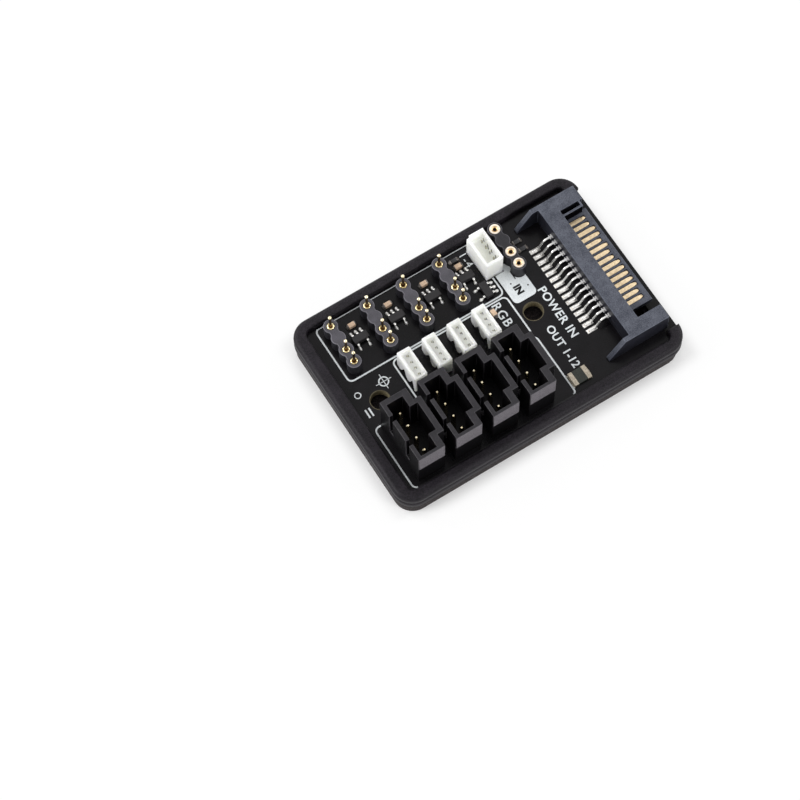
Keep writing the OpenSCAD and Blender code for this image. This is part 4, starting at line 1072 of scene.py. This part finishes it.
def flatParts(form):
    # A body between two metal ends, with a bead of solder at each end
    length, width, height, end = form["size"]
    halfLong = length / 2
    halfWide = width / 2
    beadHalf, beadWiden, beadShare, beadSpread = flatDetail["bead"]
    bodies = Shape()
    ends = Shape()
    for place in form["places"]:
        # The one that lies across is made along and its axes are swapped
        turned = place == form.get("across")
        x, y = reversed(place) if turned else place
        starts = len(bodies.points), len(ends.points)
        roundedBox(bodies, (x - halfLong + end - 0.05, y - halfWide + 0.02, boardTop + 0.02),
                   (x + halfLong - end + 0.05, y + halfWide - 0.02, boardTop + height - 0.03),
                   flatDetail["bodyRound"])
        for side in (-1, 1):
            inner = x + side * (halfLong - end)
            outer = x + side * halfLong
            roundedBox(ends, (min(inner, outer), y - halfWide, boardTop),
                       (max(inner, outer), y + halfWide, boardTop + height), flatDetail["endRound"])
            mound(ends, outer, y, beadHalf, halfWide + beadWiden, boardTop - 0.01,
                  height * beadShare + random.uniform(-beadSpread, beadSpread), flatDetail["fullness"])
        if turned:
            for gathered, start in zip((bodies, ends), starts):
                gathered.points[start:] = [(b, a, z) for a, b, z in gathered.points[start:]]
    for gathered, part, sharp in ((bodies, "body", 32), (ends, "ends", 45)):
        name, finish, slot, node = form[part]
        dress(gathered.piece(name, [finish]), [node], sharp)


for form in flatForm.values():
    flatParts(form)
print("small flat parts are made")


lineLook = {**lookOf(mouldings["whitePrint"], "spec"), "span": (0.4, 0.6), "bare": (17, 16, 18),
            "bareRough": 0.2, "far": 16.9, "near": -16.6, "corner": -24.6}


def lineFinish(look):
    # The line is thin along the board's far edge and fades out along the near one
    finish = Finish("printedLine", look)
    grain = finish.grain()
    bare = finish.axes[1] > look["far"]
    bare = bare + (finish.axes[1] < look["near"]) * (finish.axes[0] > look["corner"])
    ink = finish.shade(grain, look["span"], look["dark"], look["light"])
    return finish.surface(finish.blend(bare, ink, tint(*look["bare"])),
                          look["rough"] - bare * look["bareRough"], grain)


printedNodes = {"printed_lines": lineFinish(lineLook), "printed_patch": finishes["whitePrint"]}
for node, finish in printedNodes.items():
    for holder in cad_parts[node].material_slots:
        holder.material = finish

# Words run from +Y to -Y with their tops towards +X: text, bottom and top of the letters in x, start in y
printForm = {
    "sink": 0.004, "rise": 0.026, "patchRise": 0.012,
    "words": (("POWER IN", 12.0, 13.6, 3.0, 0.02, 1.08), ("OUT 1-12", 9.2, 10.7, -3.8, 0.02, 1.05),
              ("RGB", 3.6, 5.3, 4.6, 0.012, 1.15), ("1-4", 4.1, 5.5, 15.6, 0.0, 1.2),
              ("9-12", 4.75, 6.15, -6.0, 0.0, 1.2)),
    "patchWords": (("IN", 8.7, 10.1, 5.7, 0.06, 1.05),), "patchDots": ((8.82, 6.42), (11.22, 4.7)),
    "patchLine": ((9.92, 6.8), (10.12, 8.5)),
    "rings": ((-19.3, 2.6, 0.95, 0.72), (-24.4, 2.7, 0.62, 0.44)),
    "bars": (((-19.36, 1.1), (-19.24, 4.1)), ((-20.8, 2.54), (-17.8, 2.66)), ((-24.9, -1.9), (-24.6, -0.2)),
             ((-24.2, -1.9), (-23.9, -0.2)), ((7.2, -14.05), (7.38, -13.2)), ((7.2, -15.8), (7.38, -14.9)))}


def letters(gathered, text, bottom, top, start, weight, spacing, base, height):
    # Sets one word as a thin solid of the built-in letters
    curve = bpy.data.curves.new("word", "FONT")
    curve.body = text
    curve.extrude = 0.5
    curve.offset = weight
    curve.space_character = spacing
    curve.resolution_u = 4
    holder = put("word", curve)
    mesh = settled(holder)
    corners = [corner.co.copy() for corner in mesh.vertices]
    left = min(corner.x for corner in corners)
    low = min(corner.y for corner in corners)
    scale = (top - bottom) / (max(corner.y for corner in corners) - low)
    begin = len(gathered.points)
    for corner in corners:
        gathered.points.append((bottom + (corner.y - low) * scale, start - (corner.x - left) * scale,
                                base + (corner.z + 0.5) * height))
    for polygon in mesh.polygons:
        gathered.face(tuple(begin + k for k in polygon.vertices))
    bpy.data.objects.remove(holder)


form = printForm
marks = Shape()
base = boardTop - form["sink"]
for word in form["words"]:
    letters(marks, *word, base, form["sink"] + form["rise"])
for x, y, outer, inner in form["rings"]:
    marks.turn(x, y, [(inner, base), (outer, base), (outer, boardTop + form["rise"]),
                      (inner, boardTop + form["rise"]), (inner, base)], 40)
for low, high in form["bars"]:
    marks.loft([plateRing(low, high, 0.03, z, 2) for z in (base, boardTop + form["rise"])])
dress(marks.piece("boardMarks", ["whitePrint"]), [])
patchTop = spanOf("printed_patch")[1].z
marks = Shape()
for word in form["patchWords"]:
    letters(marks, *word, patchTop - form["sink"], form["sink"] + form["patchRise"])
levels = (patchTop - form["sink"], patchTop + form["patchRise"])
marks.loft([plateRing(*form["patchLine"], 0.05, z, 2) for z in levels])
for x, y in form["patchDots"]:
    marks.turn(x, y, [(0.15, z) for z in levels], 16)
dress(marks.piece("patchMarks", ["markInk"]), [])
print("printed marks are made")

low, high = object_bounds()
